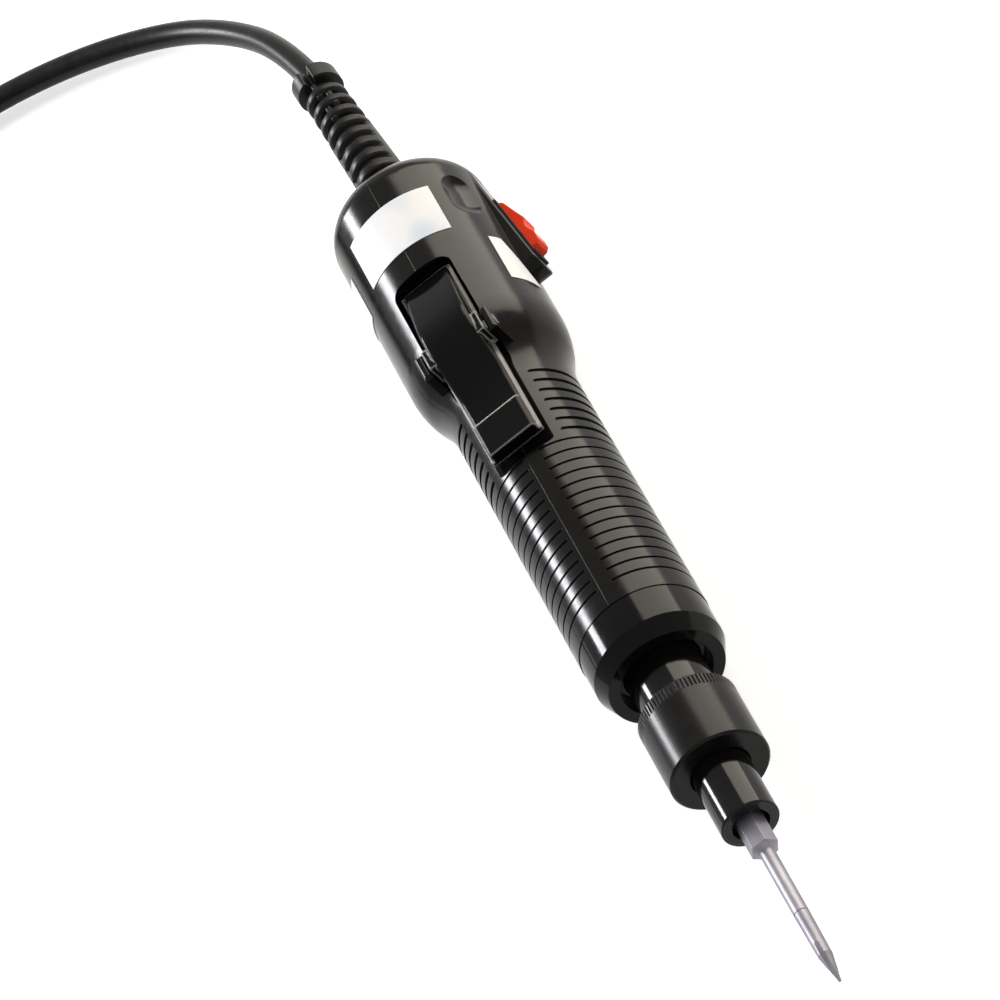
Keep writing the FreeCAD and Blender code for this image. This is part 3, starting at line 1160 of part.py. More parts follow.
def coil_edges():
    """Centre line of the coil and of its tail, which drops to the surface and runs straight into the plug."""
    start, heading, inward, centre = coil_frame()
    spots = [(coil_place(0, heading, inward, centre), heading)]
    for quarter in range(1, int(4 * (COIL_SPAN * COIL_LAYERS + COIL_EXIT))):
        turn = quarter / 4
        spots.append((coil_place(turn, heading, inward, centre), coil_way(turn, heading, inward, centre)))
    exit_spot = coil_place(COIL_SPAN * COIL_LAYERS + COIL_EXIT, heading, inward, centre)
    spots.append((exit_spot, inward))
    edges = [Part.makeLine(start, spots[0][0])]
    for (here, way), (there, onward) in zip(spots, spots[1:]):
        edges += biarc(here, way, there, onward)
    level = inward * size("tail_run")
    drop = inward * size("tail_slope") - Z_AXIS * (exit_spot.z + size("rest_depth") - size("band_radius"))
    tail = [exit_spot, exit_spot + level, exit_spot + level + drop, exit_spot + level * 2 + drop]
    return edges + route_edges(tail), tail[-1], inward


def make_lead():
    radius = size("cord_radius")
    edges = route_edges([V(*point) for point in ROUTE])
    tube = wire_tube(edges, radius)
    length = sum(edge.Length for edge in edges)
    print("lead length %.1f mm, volume ratio %.4f" % (length, tube.Volume / (math.pi * radius ** 2 * length)))
    solid("cord_lead", tube)
    edges, end, way = coil_edges()
    coil = wire_tube(edges, radius)
    length = sum(edge.Length for edge in edges)
    print("coil length %.0f mm, least gap %.2f mm" % (length, least_gap(edges) - 2 * radius))
    print("coil volume ratio %.4f" % (coil.Volume / (math.pi * radius ** 2 * length)))
    solid("cord_coil", coil)
    make_tie()
    make_plug(end, way)


def least_gap(edges):
    """Least distance between centre lines of neighbouring turns, measured on points."""
    spots = []
    along = 0.0
    for edge in edges:
        for point in edge.discretize(GAP_POINTS)[:-1]:
            spots.append((along, point))
            along += edge.Length / (GAP_POINTS - 1)
    far = math.pi * size("coil_step") * 2
    return min((p - q).Length for i, (s, p) in enumerate(spots) for t, q in spots[i + 1:] if t - s > far)


def make_tie():
    """A strap round the coil's bundle, a half turn from where the lead comes in."""
    heading, inward, centre = coil_frame()[1:]
    gap = size("tie_gap")
    thick = size("tie_thick")
    radius = size("cord_radius")
    wide = size("tie_width")
    outer = size("coil_outer") + radius + gap
    inner = size("coil_outer") - size("coil_step") * COIL_SPAN - radius
    inner -= gap + wide ** 2 / inner / 8
    low = -radius - gap
    high = size("coil_step") * (COIL_LAYERS - 1) + radius + gap
    outside = Part.makeBox(outer - inner + 2 * thick, wide, high - low + 2 * thick,
                           V(inner - thick, -wide / 2, low - thick))
    strap = outside.cut(Part.makeBox(outer - inner, wide, high - low, V(inner, -wide / 2, low)))
    angle = math.degrees(math.atan2(inward.y, inward.x))
    strap.Placement = FreeCAD.Placement(centre, FreeCAD.Rotation(Z_AXIS, angle))
    solid("cord_tie", strap)


def along_way(start, way):
    """Placement that sends local X along the given direction."""
    return FreeCAD.Placement(start, FreeCAD.Rotation(X_AXIS, way))


def make_plug(start, way):
    """Round connector at the lead's far end, built along its own X axis."""
    frame = along_way(start, way)
    turned("plug_boot", [("0", "0"), ("0", "boot_end"), ("boot_length", "shell_radius"),
                         ("boot_length", "0")])
    front = "boot_length + shell_length"
    turned("plug_shell", [("boot_length", "0"), ("boot_length", "shell_radius"), (front, "shell_radius"),
                          (front, "socket_radius"), ("%s - socket_depth" % front, "socket_radius"),
                          ("%s - socket_depth" % front, "0")])
    rear = "boot_length + band_shift"
    inner = "shell_radius + label_gap"
    turned("plug_grip", [(rear, inner), (rear, "band_radius"), ("%s + band_width" % rear, "band_radius"),
                         ("%s + band_width" % rear, inner)])
    for label in ("plug_boot", "plug_shell", "plug_grip"):
        pieces[label].Placement = frame
    foot = size("boot_length") + size("shell_length") - size("socket_depth")
    contact = rod(size("contact_radius"), V(foot, 0, size("contact_orbit")),
                  V(foot + size("contact_length"), 0, size("contact_orbit")))
    pins = group_of("plug_contacts", [about_axis(contact, index, CONTACTS) for index in range(CONTACTS)])
    pins.Placement = frame


def write_parts():
    """Check every object, then write one file for each piece."""
    doc.recompute()
    bad = [item.Label for item in doc.Objects if "Invalid" in item.State or "Error" in item.State]
    bad += [label for label, item in pieces.items() if item.Shape.isNull() or not item.Shape.isValid()]
    if bad:
        raise RuntimeError("not built: " + ", ".join(bad))
    os.makedirs("parts", exist_ok=True)
    for label, item in pieces.items():
        item.Shape.exportStep("parts/%s.step" % label)
        print(label, len(item.Shape.Solids), "solids, %.1f mm3" % item.Shape.Volume)


make_nose_ring()
make_labels()
make_housing()
make_reversing_switch()
make_lever()
make_start_switch()
make_board()
make_motor()
make_gears()
make_clutch()
make_nut()
make_spindle()
make_sleeve()
make_bit()
make_relief()
make_lead()
write_parts()
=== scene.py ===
"""Looks of the lever-start electric screwdriver, in metres and in the CAD frame."""
import math

import bmesh
import bpy
from mathutils import Matrix, Vector


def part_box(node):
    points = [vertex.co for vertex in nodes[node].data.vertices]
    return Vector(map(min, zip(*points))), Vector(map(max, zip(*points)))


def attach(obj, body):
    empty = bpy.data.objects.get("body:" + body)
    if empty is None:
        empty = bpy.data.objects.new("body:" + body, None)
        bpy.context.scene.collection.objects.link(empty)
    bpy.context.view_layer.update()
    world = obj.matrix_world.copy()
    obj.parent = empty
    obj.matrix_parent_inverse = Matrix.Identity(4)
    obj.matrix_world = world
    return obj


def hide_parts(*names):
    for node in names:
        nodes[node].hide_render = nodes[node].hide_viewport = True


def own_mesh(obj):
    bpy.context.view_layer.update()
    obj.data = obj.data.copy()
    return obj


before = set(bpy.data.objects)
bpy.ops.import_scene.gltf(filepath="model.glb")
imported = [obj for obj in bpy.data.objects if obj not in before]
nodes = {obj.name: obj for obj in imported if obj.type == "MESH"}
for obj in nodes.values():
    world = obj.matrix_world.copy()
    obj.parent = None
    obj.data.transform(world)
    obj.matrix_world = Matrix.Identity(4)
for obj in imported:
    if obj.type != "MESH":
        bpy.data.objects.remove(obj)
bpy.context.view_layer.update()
scene = bpy.context.scene
scene.view_settings.view_transform = "Standard"

# Camera fitted to the photograph: place, image right and image down, lens and sensor in millimetres, and reach.
CAMERA_PLACE = Vector((0.7836, 0.2023, 0.9124))
CAMERA_RIGHT = Vector((0.3578, 0.7752, -0.5206))
CAMERA_DOWN = Vector((0.6455, -0.6082, -0.4620))
CAMERA_LENS = 185.78
CAMERA_SENSOR = 36.0
CAMERA_REACH = 20.0

# Studio: a white world, a pale round floor just under the tool, and lamps aimed at the tool.
WHITE = (1.0, 1.0, 1.0)
WORLD_LIGHT = 0.20
WORLD_SEEN = 0.65
FLOOR_Z = -0.017
FLOOR_GAP = 0.0002
FLOOR_RADIUS = 3.0
FLOOR_SIDES = 96
FLOOR_TONE = (0.86, 0.86, 0.86)
FLOOR_GLOW = 0.62
LAMP_TARGET = Vector((-0.04, 0, 0))
LAMP_ACROSS = Vector((1, 0, 0))
# Name, place, width along the tool, height, radiance and colour.
LAMPS = (("panel", (-0.82, 0.71, 0.46), 0.60, 1.05, 6.5, (1.0, 0.93, 0.81)),
         ("strip", (-0.80, -0.73, 0.40), 0.45, 0.19, 46.0, (0.95, 0.96, 1.0)),
         ("fill", (1.2, 0.6, 1.0), 1.2, 1.2, 0.5, WHITE))

# Lead: the route's points from the part's source, and its put-away coil.
CORD_RADIUS = 0.0035
CORD_STEPS = 8
ROUTE = [(-0.2379, -0.0037, 0.0), (-0.257, -0.007, -0.002), (-0.282, -0.018, -0.008),
         (-0.304, -0.035, -0.0124), (-0.321, -0.064, -0.0125), (-0.3315, -0.097, -0.0125),
         (-0.3335, -0.129, -0.0125), (-0.331, -0.159, -0.0125)]
COIL_STEP = 0.0076
COIL_OUTER = 0.042
COIL_SPAN = 1.75
COIL_LAYERS = 4
COIL_EXIT = 0.25
COIL_POINTS = 16
COIL_PULL = 1.5  # how far the spline cuts inside its control points, as a part of their spacing
CLIMB_RATE = 2  # a layer's climb takes half a turn, centred on the layer's edge
CLIMB_MIDDLE = 0.5
TAIL_RUN = 0.022
TAIL_SLOPE = 0.036
PLUG_HEIGHT = -0.0085

# Strap round the coil, half a turn from where the lead comes in.
TIE_WIDTH = 0.010
TIE_THICK = 0.0008
TIE_GAP = 0.0003
TIE_STEPS = 8
TIE_LAP = 1.1 * TIE_THICK
TIE_EDGE = 0.94
TIE_FLAT = 0.5
TIE_CROWN = 1.1

# Strain relief: places along the lead, as distances behind the head's rear face.
HEAD_END = -0.1765
RELIEF_SEAT = 0.0005
RELIEF_LENGTH = 0.061
RELIEF_TILT = math.radians(3.45)
RELIEF_BASE = 0.0073
RELIEF_TIP = 0.0056
RELIEF_FOOT = 0.0025
RELIEF_ROWS = 420
RELIEF_SIDES = 96
COLLAR_RADIUS = 0.0066
COLLAR_SINK = 0.0018
COLLAR_RISE = (0.0004, 0.0014)
COLLAR_FALL = 0.0016
COLLAR_LOBES = (0.10, 0.24)
RIB_PITCH = 0.0053
RIB_SHARE = 0.76
RIB_ROUND = 4.0
RIB_END = 0.0530
GROOVE_DEPTH = 0.0013
GROOVE_GAIN = 0.0008
GROOVE_GAIN_OVER = (0.45, 0.7)
WEBBED_RIBS = 6
WEB_SINES = (0.36, 0.58)
BRIDGED_RIBS = 7
BRIDGE_SHARE = 0.8
BRIDGE_SINES = (0.12, 0.24)
BRIDGE_TURN = 1.1
BRIDGE_STAGGER = 0.5

# Coil springs, each held at its lower end: piece, node, body, joint, axis, wire, pitch and how far it is pressed.
SPRING_SIDES = 10
SPRING_STEPS = 24
QUARTERS = 4
SPRINGS = (("return_coil", "lever_spring", "housing", "lever_press", 2, 0.00045, 0.00115, 0.0020),
           ("clutch_coil", "clutch_spring", "housing", "spring_seat_slide", 0, 0.0013, 0.0033, 0.00475),
           ("sleeve_coil", "sleeve_spring", "spindle", "sleeve_slide", 0, 0.0006, 0.0017, 0.0030))

# Scales of the marks on turned, drawn and cast metal, per metre along X, Y and Z.
TURNED = (60000.0, 300.0, 300.0)
DRAWN = (400.0, 30000.0, 30000.0)
WOUND = (300.0, 9000.0, 9000.0)
UPRIGHT = (300.0, 300.0, 9000.0)
EVEN = (900.0, 900.0, 900.0)
SINTERED = (2500.0, 2500.0, 2500.0)
PRESSED = (1500.0, 1500.0, 1500.0)


def add_camera():
    data = bpy.data.cameras.new("camera")
    data.lens = CAMERA_LENS
    data.sensor_width = CAMERA_SENSOR
    data.clip_end = CAMERA_REACH
    camera = bpy.data.objects.new("camera", data)
    back = CAMERA_RIGHT.cross(-CAMERA_DOWN)
    turn = Matrix((CAMERA_RIGHT, -CAMERA_DOWN, back)).transposed()
    camera.matrix_world = Matrix.Translation(CAMERA_PLACE) @ turn.to_4x4()
    scene.collection.objects.link(camera)
    scene.camera = camera


def add_lamps():
    """Rectangular lamps aimed at the tool, with their widths along it."""
    for name, place, width, height, radiance, colour in LAMPS:
        data = bpy.data.lights.new(name, "AREA")
        data.shape = "RECTANGLE"
        data.size = width
        data.size_y = height
        data.energy = radiance * math.pi * width * height
        data.color = colour
        lamp = bpy.data.objects.new(name, data)
        back = (Vector(place) - LAMP_TARGET).normalized()
        across = (LAMP_ACROSS - back * back.dot(LAMP_ACROSS)).normalized()
        turn = Matrix((across, back.cross(across), back)).transposed()
        lamp.matrix_world = Matrix.Translation(Vector(place)) @ turn.to_4x4()
        scene.collection.objects.link(lamp)


def seen_directly(tree):
    """One for rays from the camera and for reflections, zero for diffuse light."""
    path = tree.nodes.new("ShaderNodeLightPath")
    total = tree.nodes.new("ShaderNodeMath")
    total.operation = "ADD"
    tree.links.new(path.outputs["Is Camera Ray"], total.inputs[0])
    tree.links.new(path.outputs["Is Glossy Ray"], total.inputs[1])
    both = tree.nodes.new("ShaderNodeMath")
    both.operation = "ADD"
    both.use_clamp = True
    tree.links.new(total.outputs[0], both.inputs[0])
    tree.links.new(path.outputs["Is Transmission Ray"], both.inputs[1])
    return both.outputs[0]


def add_world():
    world = bpy.data.worlds.new("studio")
    scene.world = world
    world.use_nodes = True
    tree = world.node_tree
    ground = tree.nodes["Background"]
    ground.inputs["Color"].default_value = (*WHITE, 1.0)
    strength = tree.nodes.new("ShaderNodeMapRange")
    strength.inputs["To Min"].default_value = WORLD_LIGHT
    strength.inputs["To Max"].default_value = WORLD_SEEN
    tree.links.new(seen_directly(tree), strength.inputs["Value"])
    tree.links.new(strength.outputs[0], ground.inputs["Strength"])


def add_floor():
    mesh = bpy.data.meshes.new("floor")
    form = bmesh.new()
    bmesh.ops.create_circle(form, cap_ends=True, segments=FLOOR_SIDES, radius=FLOOR_RADIUS)
    form.to_mesh(mesh)
    form.free()
    floor = bpy.data.objects.new("floor", mesh)
    floor.location = (0, 0, FLOOR_Z - FLOOR_GAP)
    scene.collection.objects.link(floor)
    material = bpy.data.materials.new("floor_paper")
    material.use_nodes = True
    tree = material.node_tree
    tree.nodes.clear()
    matte = tree.nodes.new("ShaderNodeBsdfDiffuse")
    matte.inputs["Color"].default_value = (*FLOOR_TONE, 1.0)
    glow = tree.nodes.new("ShaderNodeEmission")
    glow.inputs["Color"].default_value = (*WHITE, 1.0)
    share = tree.nodes.new("ShaderNodeMath")
    share.operation = "MULTIPLY"
    share.inputs[1].default_value = FLOOR_GLOW
    tree.links.new(seen_directly(tree), share.inputs[0])
    tree.links.new(share.outputs[0], glow.inputs["Strength"])
    both = tree.nodes.new("ShaderNodeAddShader")
    out = tree.nodes.new("ShaderNodeOutputMaterial")
    tree.links.new(matte.outputs[0], both.inputs[0])
    tree.links.new(glow.outputs[0], both.inputs[1])
    tree.links.new(both.outputs[0], out.inputs["Surface"])
    mesh.materials.append(material)


class Finish:
    """A Principled material with noise, edge and bump helpers; scales are per metre of the part."""

    EDGE_SAMPLES = 6
    EDGE_BENT = 0.80
    EDGE_FLAT = 0.995

    def __init__(self, name, colour, roughness, metallic=0.0, specular=0.5):
        self.material = bpy.data.materials.new(name)
        self.material.use_nodes = True
        self.tree = self.material.node_tree
        self.shader = self.tree.nodes["Principled BSDF"]
        self.shader.inputs["Base Color"].default_value = (*colour, 1.0)
        self.shader.inputs["Roughness"].default_value = roughness
        self.shader.inputs["Metallic"].default_value = metallic
        self.shader.inputs["Specular IOR Level"].default_value = specular
        self.place = self.tree.nodes.new("ShaderNodeTexCoord").outputs["Object"]
        self.normal = None

    def add(self, kind):
        return self.tree.nodes.new("ShaderNode" + kind)

    def link(self, output, target):
        self.tree.links.new(output, target)

    def stretched(self, scale):
        """The place with its axes scaled apart, for brushed and drawn finishes."""
        mapping = self.add("Mapping")
        mapping.inputs["Scale"].default_value = scale
        self.link(self.place, mapping.inputs["Vector"])
        return mapping.outputs[0]

    def noise(self, scale, detail=3.0, place=None):
        node = self.add("TexNoise")
        node.inputs["Scale"].default_value = scale
        node.inputs["Detail"].default_value = detail
        self.link(place or self.place, node.inputs["Vector"])
        return node.outputs["Fac"]

    def ramp(self, value, low, high, low_at=0.3, high_at=0.7):
        node = self.add("MapRange")
        node.inputs["From Min"].default_value = low_at
        node.inputs["From Max"].default_value = high_at
        node.inputs["To Min"].default_value = low
        node.inputs["To Max"].default_value = high
        self.link(value, node.inputs["Value"])
        return node.outputs[0]

    def mix(self, value, low, high):
        node = self.add("MixRGB")
        for index, colour in ((1, low), (2, high)):
            if hasattr(colour, "node"):
                self.link(colour, node.inputs[index])
            else:
                node.inputs[index].default_value = (*colour, 1.0)
        self.link(value, node.inputs[0])
        return node.outputs[0]

    def join(self, operation, first, second):
        node = self.add("Math")
        node.operation = operation
        self.link(first, node.inputs[0])
        self.link(second, node.inputs[1])
        return node.outputs[0]

    def colour(self, output):
        self.link(output, self.shader.inputs["Base Color"])

    def rough(self, output):
        self.link(output, self.shader.inputs["Roughness"])

    def soft_edges(self, radius):
        """Round sharp edges in shading, and return a mask of them."""
        bevel = self.add("Bevel")
        bevel.samples = self.EDGE_SAMPLES
        bevel.inputs["Radius"].default_value = radius
        self.normal = bevel.outputs[0]
        flat = self.add("NewGeometry")
        same = self.add("VectorMath")
        same.operation = "DOT_PRODUCT"
        self.link(bevel.outputs[0], same.inputs[0])
        self.link(flat.outputs["Normal"], same.inputs[1])
        return self.ramp(same.outputs["Value"], 1.0, 0.0, self.EDGE_BENT, self.EDGE_FLAT)

    def bump(self, value, height):
        node = self.add("Bump")
        node.inputs["Strength"].default_value = 1.0
        node.inputs["Distance"].default_value = height
        self.link(value, node.inputs["Height"])
        if self.normal:
            self.link(self.normal, node.inputs["Normal"])
        self.normal = node.outputs[0]

    def done(self):
        if self.normal:
            self.link(self.normal, self.shader.inputs["Normal"])
        return self.material


def moulded(name, dark, light, rough, grain, edge, specular=0.3, edge_colour=None, edge_share=0.35):
    """Injection-moulded plastic: fine spark grain, faint flow marks, paler edges that are partly wear and partly
    painted highlight.
    """
    finish = Finish(name, dark, rough[0], specular=specular)
    # Paler edges mix towards the edge colour: partly wear, and a painted highlight where the edge colour is pale
    # and its share high.
    edge_wear_and_glint = finish.ramp(finish.soft_edges(edge), 0.0, edge_share, low_at=0.2, high_at=1.0)
    flow = finish.ramp(finish.noise(scale=90.0, detail=4.0), 0.0, 1.0)
    finish.colour(finish.mix(edge_wear_and_glint, finish.mix(flow, dark, light), edge_colour or light))
    finish.rough(finish.ramp(finish.noise(scale=420.0), *rough))
    finish.bump(finish.noise(scale=5200.0, detail=2.0), grain)
    return finish.done()


def machined(name, dark, light, rough, marks, depth, edge, metallic=1.0, specular=0.5):
    """Turned, drawn or cast metal: fine marks around or along the piece, brighter edges that are partly wear and
    partly painted highlight.
    """
    finish = Finish(name, dark, rough[0], metallic=metallic, specular=specular)
    # Brighter edges mix towards the light colour: partly wear and partly painted highlight.
    edge_wear_and_glint = finish.ramp(finish.soft_edges(edge), 0.0, 0.6, low_at=0.3, high_at=1.0)
    lines = finish.noise(scale=1.0, detail=2.0, place=finish.stretched(marks))
    smear = finish.ramp(finish.noise(scale=160.0, detail=4.0), 0.0, 1.0)
    finish.colour(finish.mix(edge_wear_and_glint, finish.mix(smear, dark, light), light))
    finish.rough(finish.ramp(lines, *rough))
    finish.bump(lines, depth)
    return finish.done()


def label_film():
    """Blank white label with a faint blue wash and a slight curl of the film's surface."""
    finish = Finish("label_film", (0.9, 0.92, 0.95), 0.42, specular=0.35)
    wash = finish.ramp(finish.noise(scale=75.0, detail=1.0), 0.0, 1.0, low_at=0.42, high_at=0.72)
    finish.colour(finish.mix(wash, (0.93, 0.94, 0.95), (0.66, 0.75, 0.87)))
    finish.rough(finish.ramp(finish.noise(scale=900.0), 0.38, 0.5))
    finish.bump(finish.noise(scale=400.0), height=0.00001)
    return finish.done()


def jacket(name, grain):
    """Lead jacket: satin rubber with a fine grain and scuffs."""
    finish = Finish(name, (0.008, 0.0075, 0.007), 0.35, specular=0.15)
    scuff = finish.ramp(finish.noise(scale=240.0, detail=5.0), 0.0, 1.0)
    finish.colour(finish.mix(scuff, (0.006, 0.0056, 0.0052), (0.012, 0.0113, 0.0106)))
    finish.rough(finish.ramp(finish.noise(scale=700.0), 0.30, 0.40))
    finish.bump(finish.noise(scale=3000.0, detail=2.0), grain)
    return finish.done()


def woven(name, dark, light):
    """Hook and loop strap: a fine crossed weave."""
    finish = Finish(name, dark, 0.9, specular=0.1)
    threads = []
    for direction in ("X", "Y", "Z"):
        wave = finish.add("TexWave")
        wave.bands_direction = direction
        wave.inputs["Scale"].default_value = 320.0
        wave.inputs["Distortion"].default_value = 0.6
        finish.link(finish.place, wave.inputs["Vector"])
        threads.append(wave.outputs["Fac"])
    weave = finish.join("ADD", finish.join("MULTIPLY", threads[0], threads[1]), threads[2])
    finish.colour(finish.mix(finish.ramp(weave, 0.0, 1.0, low_at=0.0, high_at=1.5), dark, light))
    finish.bump(weave, height=0.0002)
    return finish.done()


def dress(material, *names):
    for name in names:
        mesh = nodes[name].data
        mesh.materials.clear()
        mesh.materials.append(material)


def around(count):
    """Angles of evenly spaced places round a circle."""
    return [2 * math.pi * number / count for number in range(count)]


def skinned(name, rings, material):
    """A smooth piece through rings of places, with a flat cap at each end."""
    form = bmesh.new()
    rows = [[form.verts.new(spot) for spot in ring] for ring in rings]
    for low, high in zip(rows, rows[1:]):
        for side in range(len(low)):
            after = (side + 1) % len(low)
            face = form.faces.new((low[side], low[after], high[after], high[side]))
            face.smooth = True
    form.faces.new(rows[0])
    form.faces.new(rows[-1])
    bmesh.ops.recalc_face_normals(form, faces=form.faces)
    mesh = bpy.data.meshes.new(name)
    form.to_mesh(mesh)
    form.free()
    mesh.materials.append(material)
    piece = bpy.data.objects.new(name, mesh)
    scene.collection.objects.link(piece)
    return piece


def ease(share):
    """A climb from 0 to 1 that starts and ends level."""
    share = min(max(share, 0), 1)
    return share - math.sin(2 * math.pi * share) / (2 * math.pi)


def smooth_step(value, low, high):
    """A climb from 0 at low to 1 at high, level at both ends."""
    share = min(max((value - low) / (high - low), 0.0), 1.0)
    return share * share * (3 - 2 * share)


def coil_frame():
    """Heading of the lead into the coil, the way to the coil's middle, and its centre."""
    start = Vector(ROUTE[-1])
    heading = (start - Vector(ROUTE[-2])).normalized()
    inward = Vector((-heading.y, heading.x, 0))
    return heading, inward, start + heading * 2 * CORD_RADIUS + inward * COIL_OUTER


def coil_points():
    """Control points of the put-away coil and its tail, by the same spiral as the part's source."""
    heading, inward, centre = coil_frame()
    outward_share = 1 / math.cos(math.pi / COIL_POINTS / COIL_PULL)
    points = []
    for index in range(1, int(COIL_POINTS * (COIL_SPAN * COIL_LAYERS + COIL_EXIT)) + 1):
        turn = index / COIL_POINTS
        layer = min(int(turn / COIL_SPAN), COIL_LAYERS - 1)
        past = turn - layer * COIL_SPAN
        radius = (COIL_OUTER - COIL_STEP * (COIL_SPAN - past if layer % 2 else past)) * outward_share
        height = COIL_STEP * sum(ease(CLIMB_RATE * (turn - edge * COIL_SPAN) + CLIMB_MIDDLE)
                                 for edge in range(1, COIL_LAYERS))
        angle = 2 * math.pi * turn
        points.append(centre - inward * (radius * math.cos(angle)) + heading * (radius * math.sin(angle))
                      + Vector((0, 0, height)))
    end = points[-1]
    level = inward * TAIL_RUN
    drop = inward * TAIL_SLOPE + Vector((0, 0, PLUG_HEIGHT - end.z))
    return points + [end + level, end + level + drop, end + level * 2 + drop]


def tie_line():
    """The strap's line in the upright plane through the coil's middle: places and outward directions."""
    corner = CORD_RADIUS + TIE_GAP + TIE_THICK / 2
    near = COIL_OUTER - COIL_STEP * COIL_SPAN - TIE_GAP
    top = COIL_STEP * (COIL_LAYERS - 1)
    line = []
    for quarter, (out, up) in enumerate(((COIL_OUTER, top), (near, top), (near, 0.0), (COIL_OUTER, 0.0))):
        for step in range(TIE_STEPS + 1):
            angle = math.pi / 2 * (quarter + step / TIE_STEPS)
            way = Vector((math.cos(angle), math.sin(angle)))
            line.append((Vector((out, up)) + way * corner, way))
    lap = [(place + way * TIE_LAP, way) for place, way in line[:TIE_STEPS + 1]]
    return line + lap + [lapped_end(line)]


def lapped_end(line):
    """The strap's free end, lying on the first layer halfway along the top."""
    (near, way), (far, _) = line[TIE_STEPS:TIE_STEPS + 2]
    return (near + far) / 2 + way * TIE_LAP, way


def add_tie(material):
    """A flat strap with round edges, wound once round the coil and lapped over itself."""
    inward, centre = coil_frame()[1:]
    side = Vector((-inward.y, inward.x, 0))
    half = TIE_WIDTH / 2
    edge = TIE_EDGE * half
    flat = TIE_FLAT * half
    bulge = TIE_THICK / 2
    crown = TIE_CROWN * bulge
    section = [(-half, 0.0), (-edge, bulge), (-flat, crown), (flat, crown), (edge, bulge), (half, 0.0),
               (edge, -bulge), (-edge, -bulge)]
    rings = []
    for place, way in tie_line():
        spots = [(across, place + way * lift) for across, lift in section]
        rings.append([centre + inward * spot.x + Vector((0, 0, spot.y)) + side * across for across, spot in spots])
    strap = skinned("strap", rings, material)
    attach(strap, "housing")
    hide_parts("cord_tie")
    return strap


def add_cord(material):
    """The lead, from the strain relief through the coil to its connector, on one spline."""
    curve = bpy.data.curves.new("lead", "CURVE")
    curve.dimensions = "3D"
    curve.bevel_depth = CORD_RADIUS
    curve.bevel_resolution = CORD_STEPS
    curve.use_fill_caps = True
    curve.resolution_u = CORD_STEPS
    spline = curve.splines.new("NURBS")
    points = [Vector(point) for point in ROUTE] + coil_points()
    spline.points.add(len(points) - 1)
    for spot, point in zip(spline.points, points):
        spot.co = (*point, 1.0)
    spline.order_u = 3
    spline.use_endpoint_u = True
    curve.materials.append(material)
    cord = bpy.data.objects.new("lead", curve)
    scene.collection.objects.link(cord)
    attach(cord, "housing")
    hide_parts("cord_lead", "cord_coil")


def rib_height(along):
    """Rib shape along the strain relief: height share and rib number; the end collar has the number -1."""
    if along > RIB_END:
        rise = smooth_step(along, *(RIB_END + distance for distance in COLLAR_RISE))
        fall = 1 - smooth_step(along, RELIEF_LENGTH - COLLAR_FALL, RELIEF_LENGTH)
        return rise * fall, -1
    number = int(along / RIB_PITCH)
    local = along / RIB_PITCH - number
    return max(0.0, 1 - abs(2 * local / RIB_SHARE - 1) ** RIB_ROUND), number


def rib_share(height, number, angle):
    """Height share at an angle: webs join the first ribs at the sides, and narrow bridges the last ones."""
    if 0 <= number < WEBBED_RIBS:
        return 1 - (1 - height) * smooth_step(abs(math.sin(angle)), *WEB_SINES)
    if number < 0:
        return height * smooth_step(abs(math.cos(angle)), *COLLAR_LOBES)
    if number < BRIDGED_RIBS:
        return height
    turn = (number % 2) * BRIDGE_STAGGER + BRIDGE_TURN
    bridge = 1 - smooth_step(abs(math.sin(angle - turn)), *BRIDGE_SINES)
    return max(height, BRIDGE_SHARE * bridge)


def relief_ring(along):
    """Places round the strain relief at a distance behind its foot, along X and before it is tilted."""
    share = along / RELIEF_LENGTH
    height, number = rib_height(along)
    if number < 0:
        outer = COLLAR_RADIUS
        depth = outer - RELIEF_TIP + COLLAR_SINK
    else:
        outer = RELIEF_BASE + (RELIEF_TIP - RELIEF_BASE) * share
        depth = GROOVE_DEPTH + GROOVE_GAIN * smooth_step(share, *GROOVE_GAIN_OVER)
    ring = []
    for angle in around(RELIEF_SIDES):
        radius = outer - depth + depth * rib_share(height, number, angle)
        if along < RELIEF_FOOT:
            radius = outer
        ring.append(Vector((-RELIEF_SEAT - along, radius * math.cos(angle), radius * math.sin(angle))))
    return ring


def add_relief(material):
    """The ribbed strain relief, turned towards the lead."""
    tilt = Matrix.Rotation(RELIEF_TILT, 3, "Z")
    foot = Vector((HEAD_END, 0, 0))
    rings = [[foot + tilt @ spot for spot in relief_ring(RELIEF_LENGTH * row / RELIEF_ROWS)]
             for row in range(RELIEF_ROWS + 1)]
    relief = skinned("relief", rings, material)
    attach(relief, "housing")
    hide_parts("strain_relief")


def add_springs(material):
    """Coils in the place of the CAD springs, each attached to its body."""
    for name, node, body, joint, axis, wire, pitch, travel in SPRINGS:
        low, high = (Vector(corner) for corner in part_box(node))
        along, side = Vector(), Vector()
        along[axis] = side[(axis + 1) % 3] = 1
        across = along.cross(side)
        length = (high - low).dot(along)
        mean = ((high - low).dot(side) - wire) / 2
        foot = (low + high - along * length) / 2
        run = length - wire
        turns = math.floor(QUARTERS * run / pitch) / QUARTERS
        steps = int(turns * SPRING_STEPS)
        rings = []
        for step in range(steps + 1):
            turn = 2 * math.pi * turns * step / steps
            spoke = side * math.cos(turn) + across * math.sin(turn)
            middle = foot + spoke * mean + along * (wire / 2 + run * step / steps)
            rings.append([middle + (spoke * math.cos(angle) + along * math.sin(angle)) * wire / 2
                          for angle in around(SPRING_SIDES)])
        coil = skinned(name, rings, material)
        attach(coil, body)
        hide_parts(node)
        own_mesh(coil)


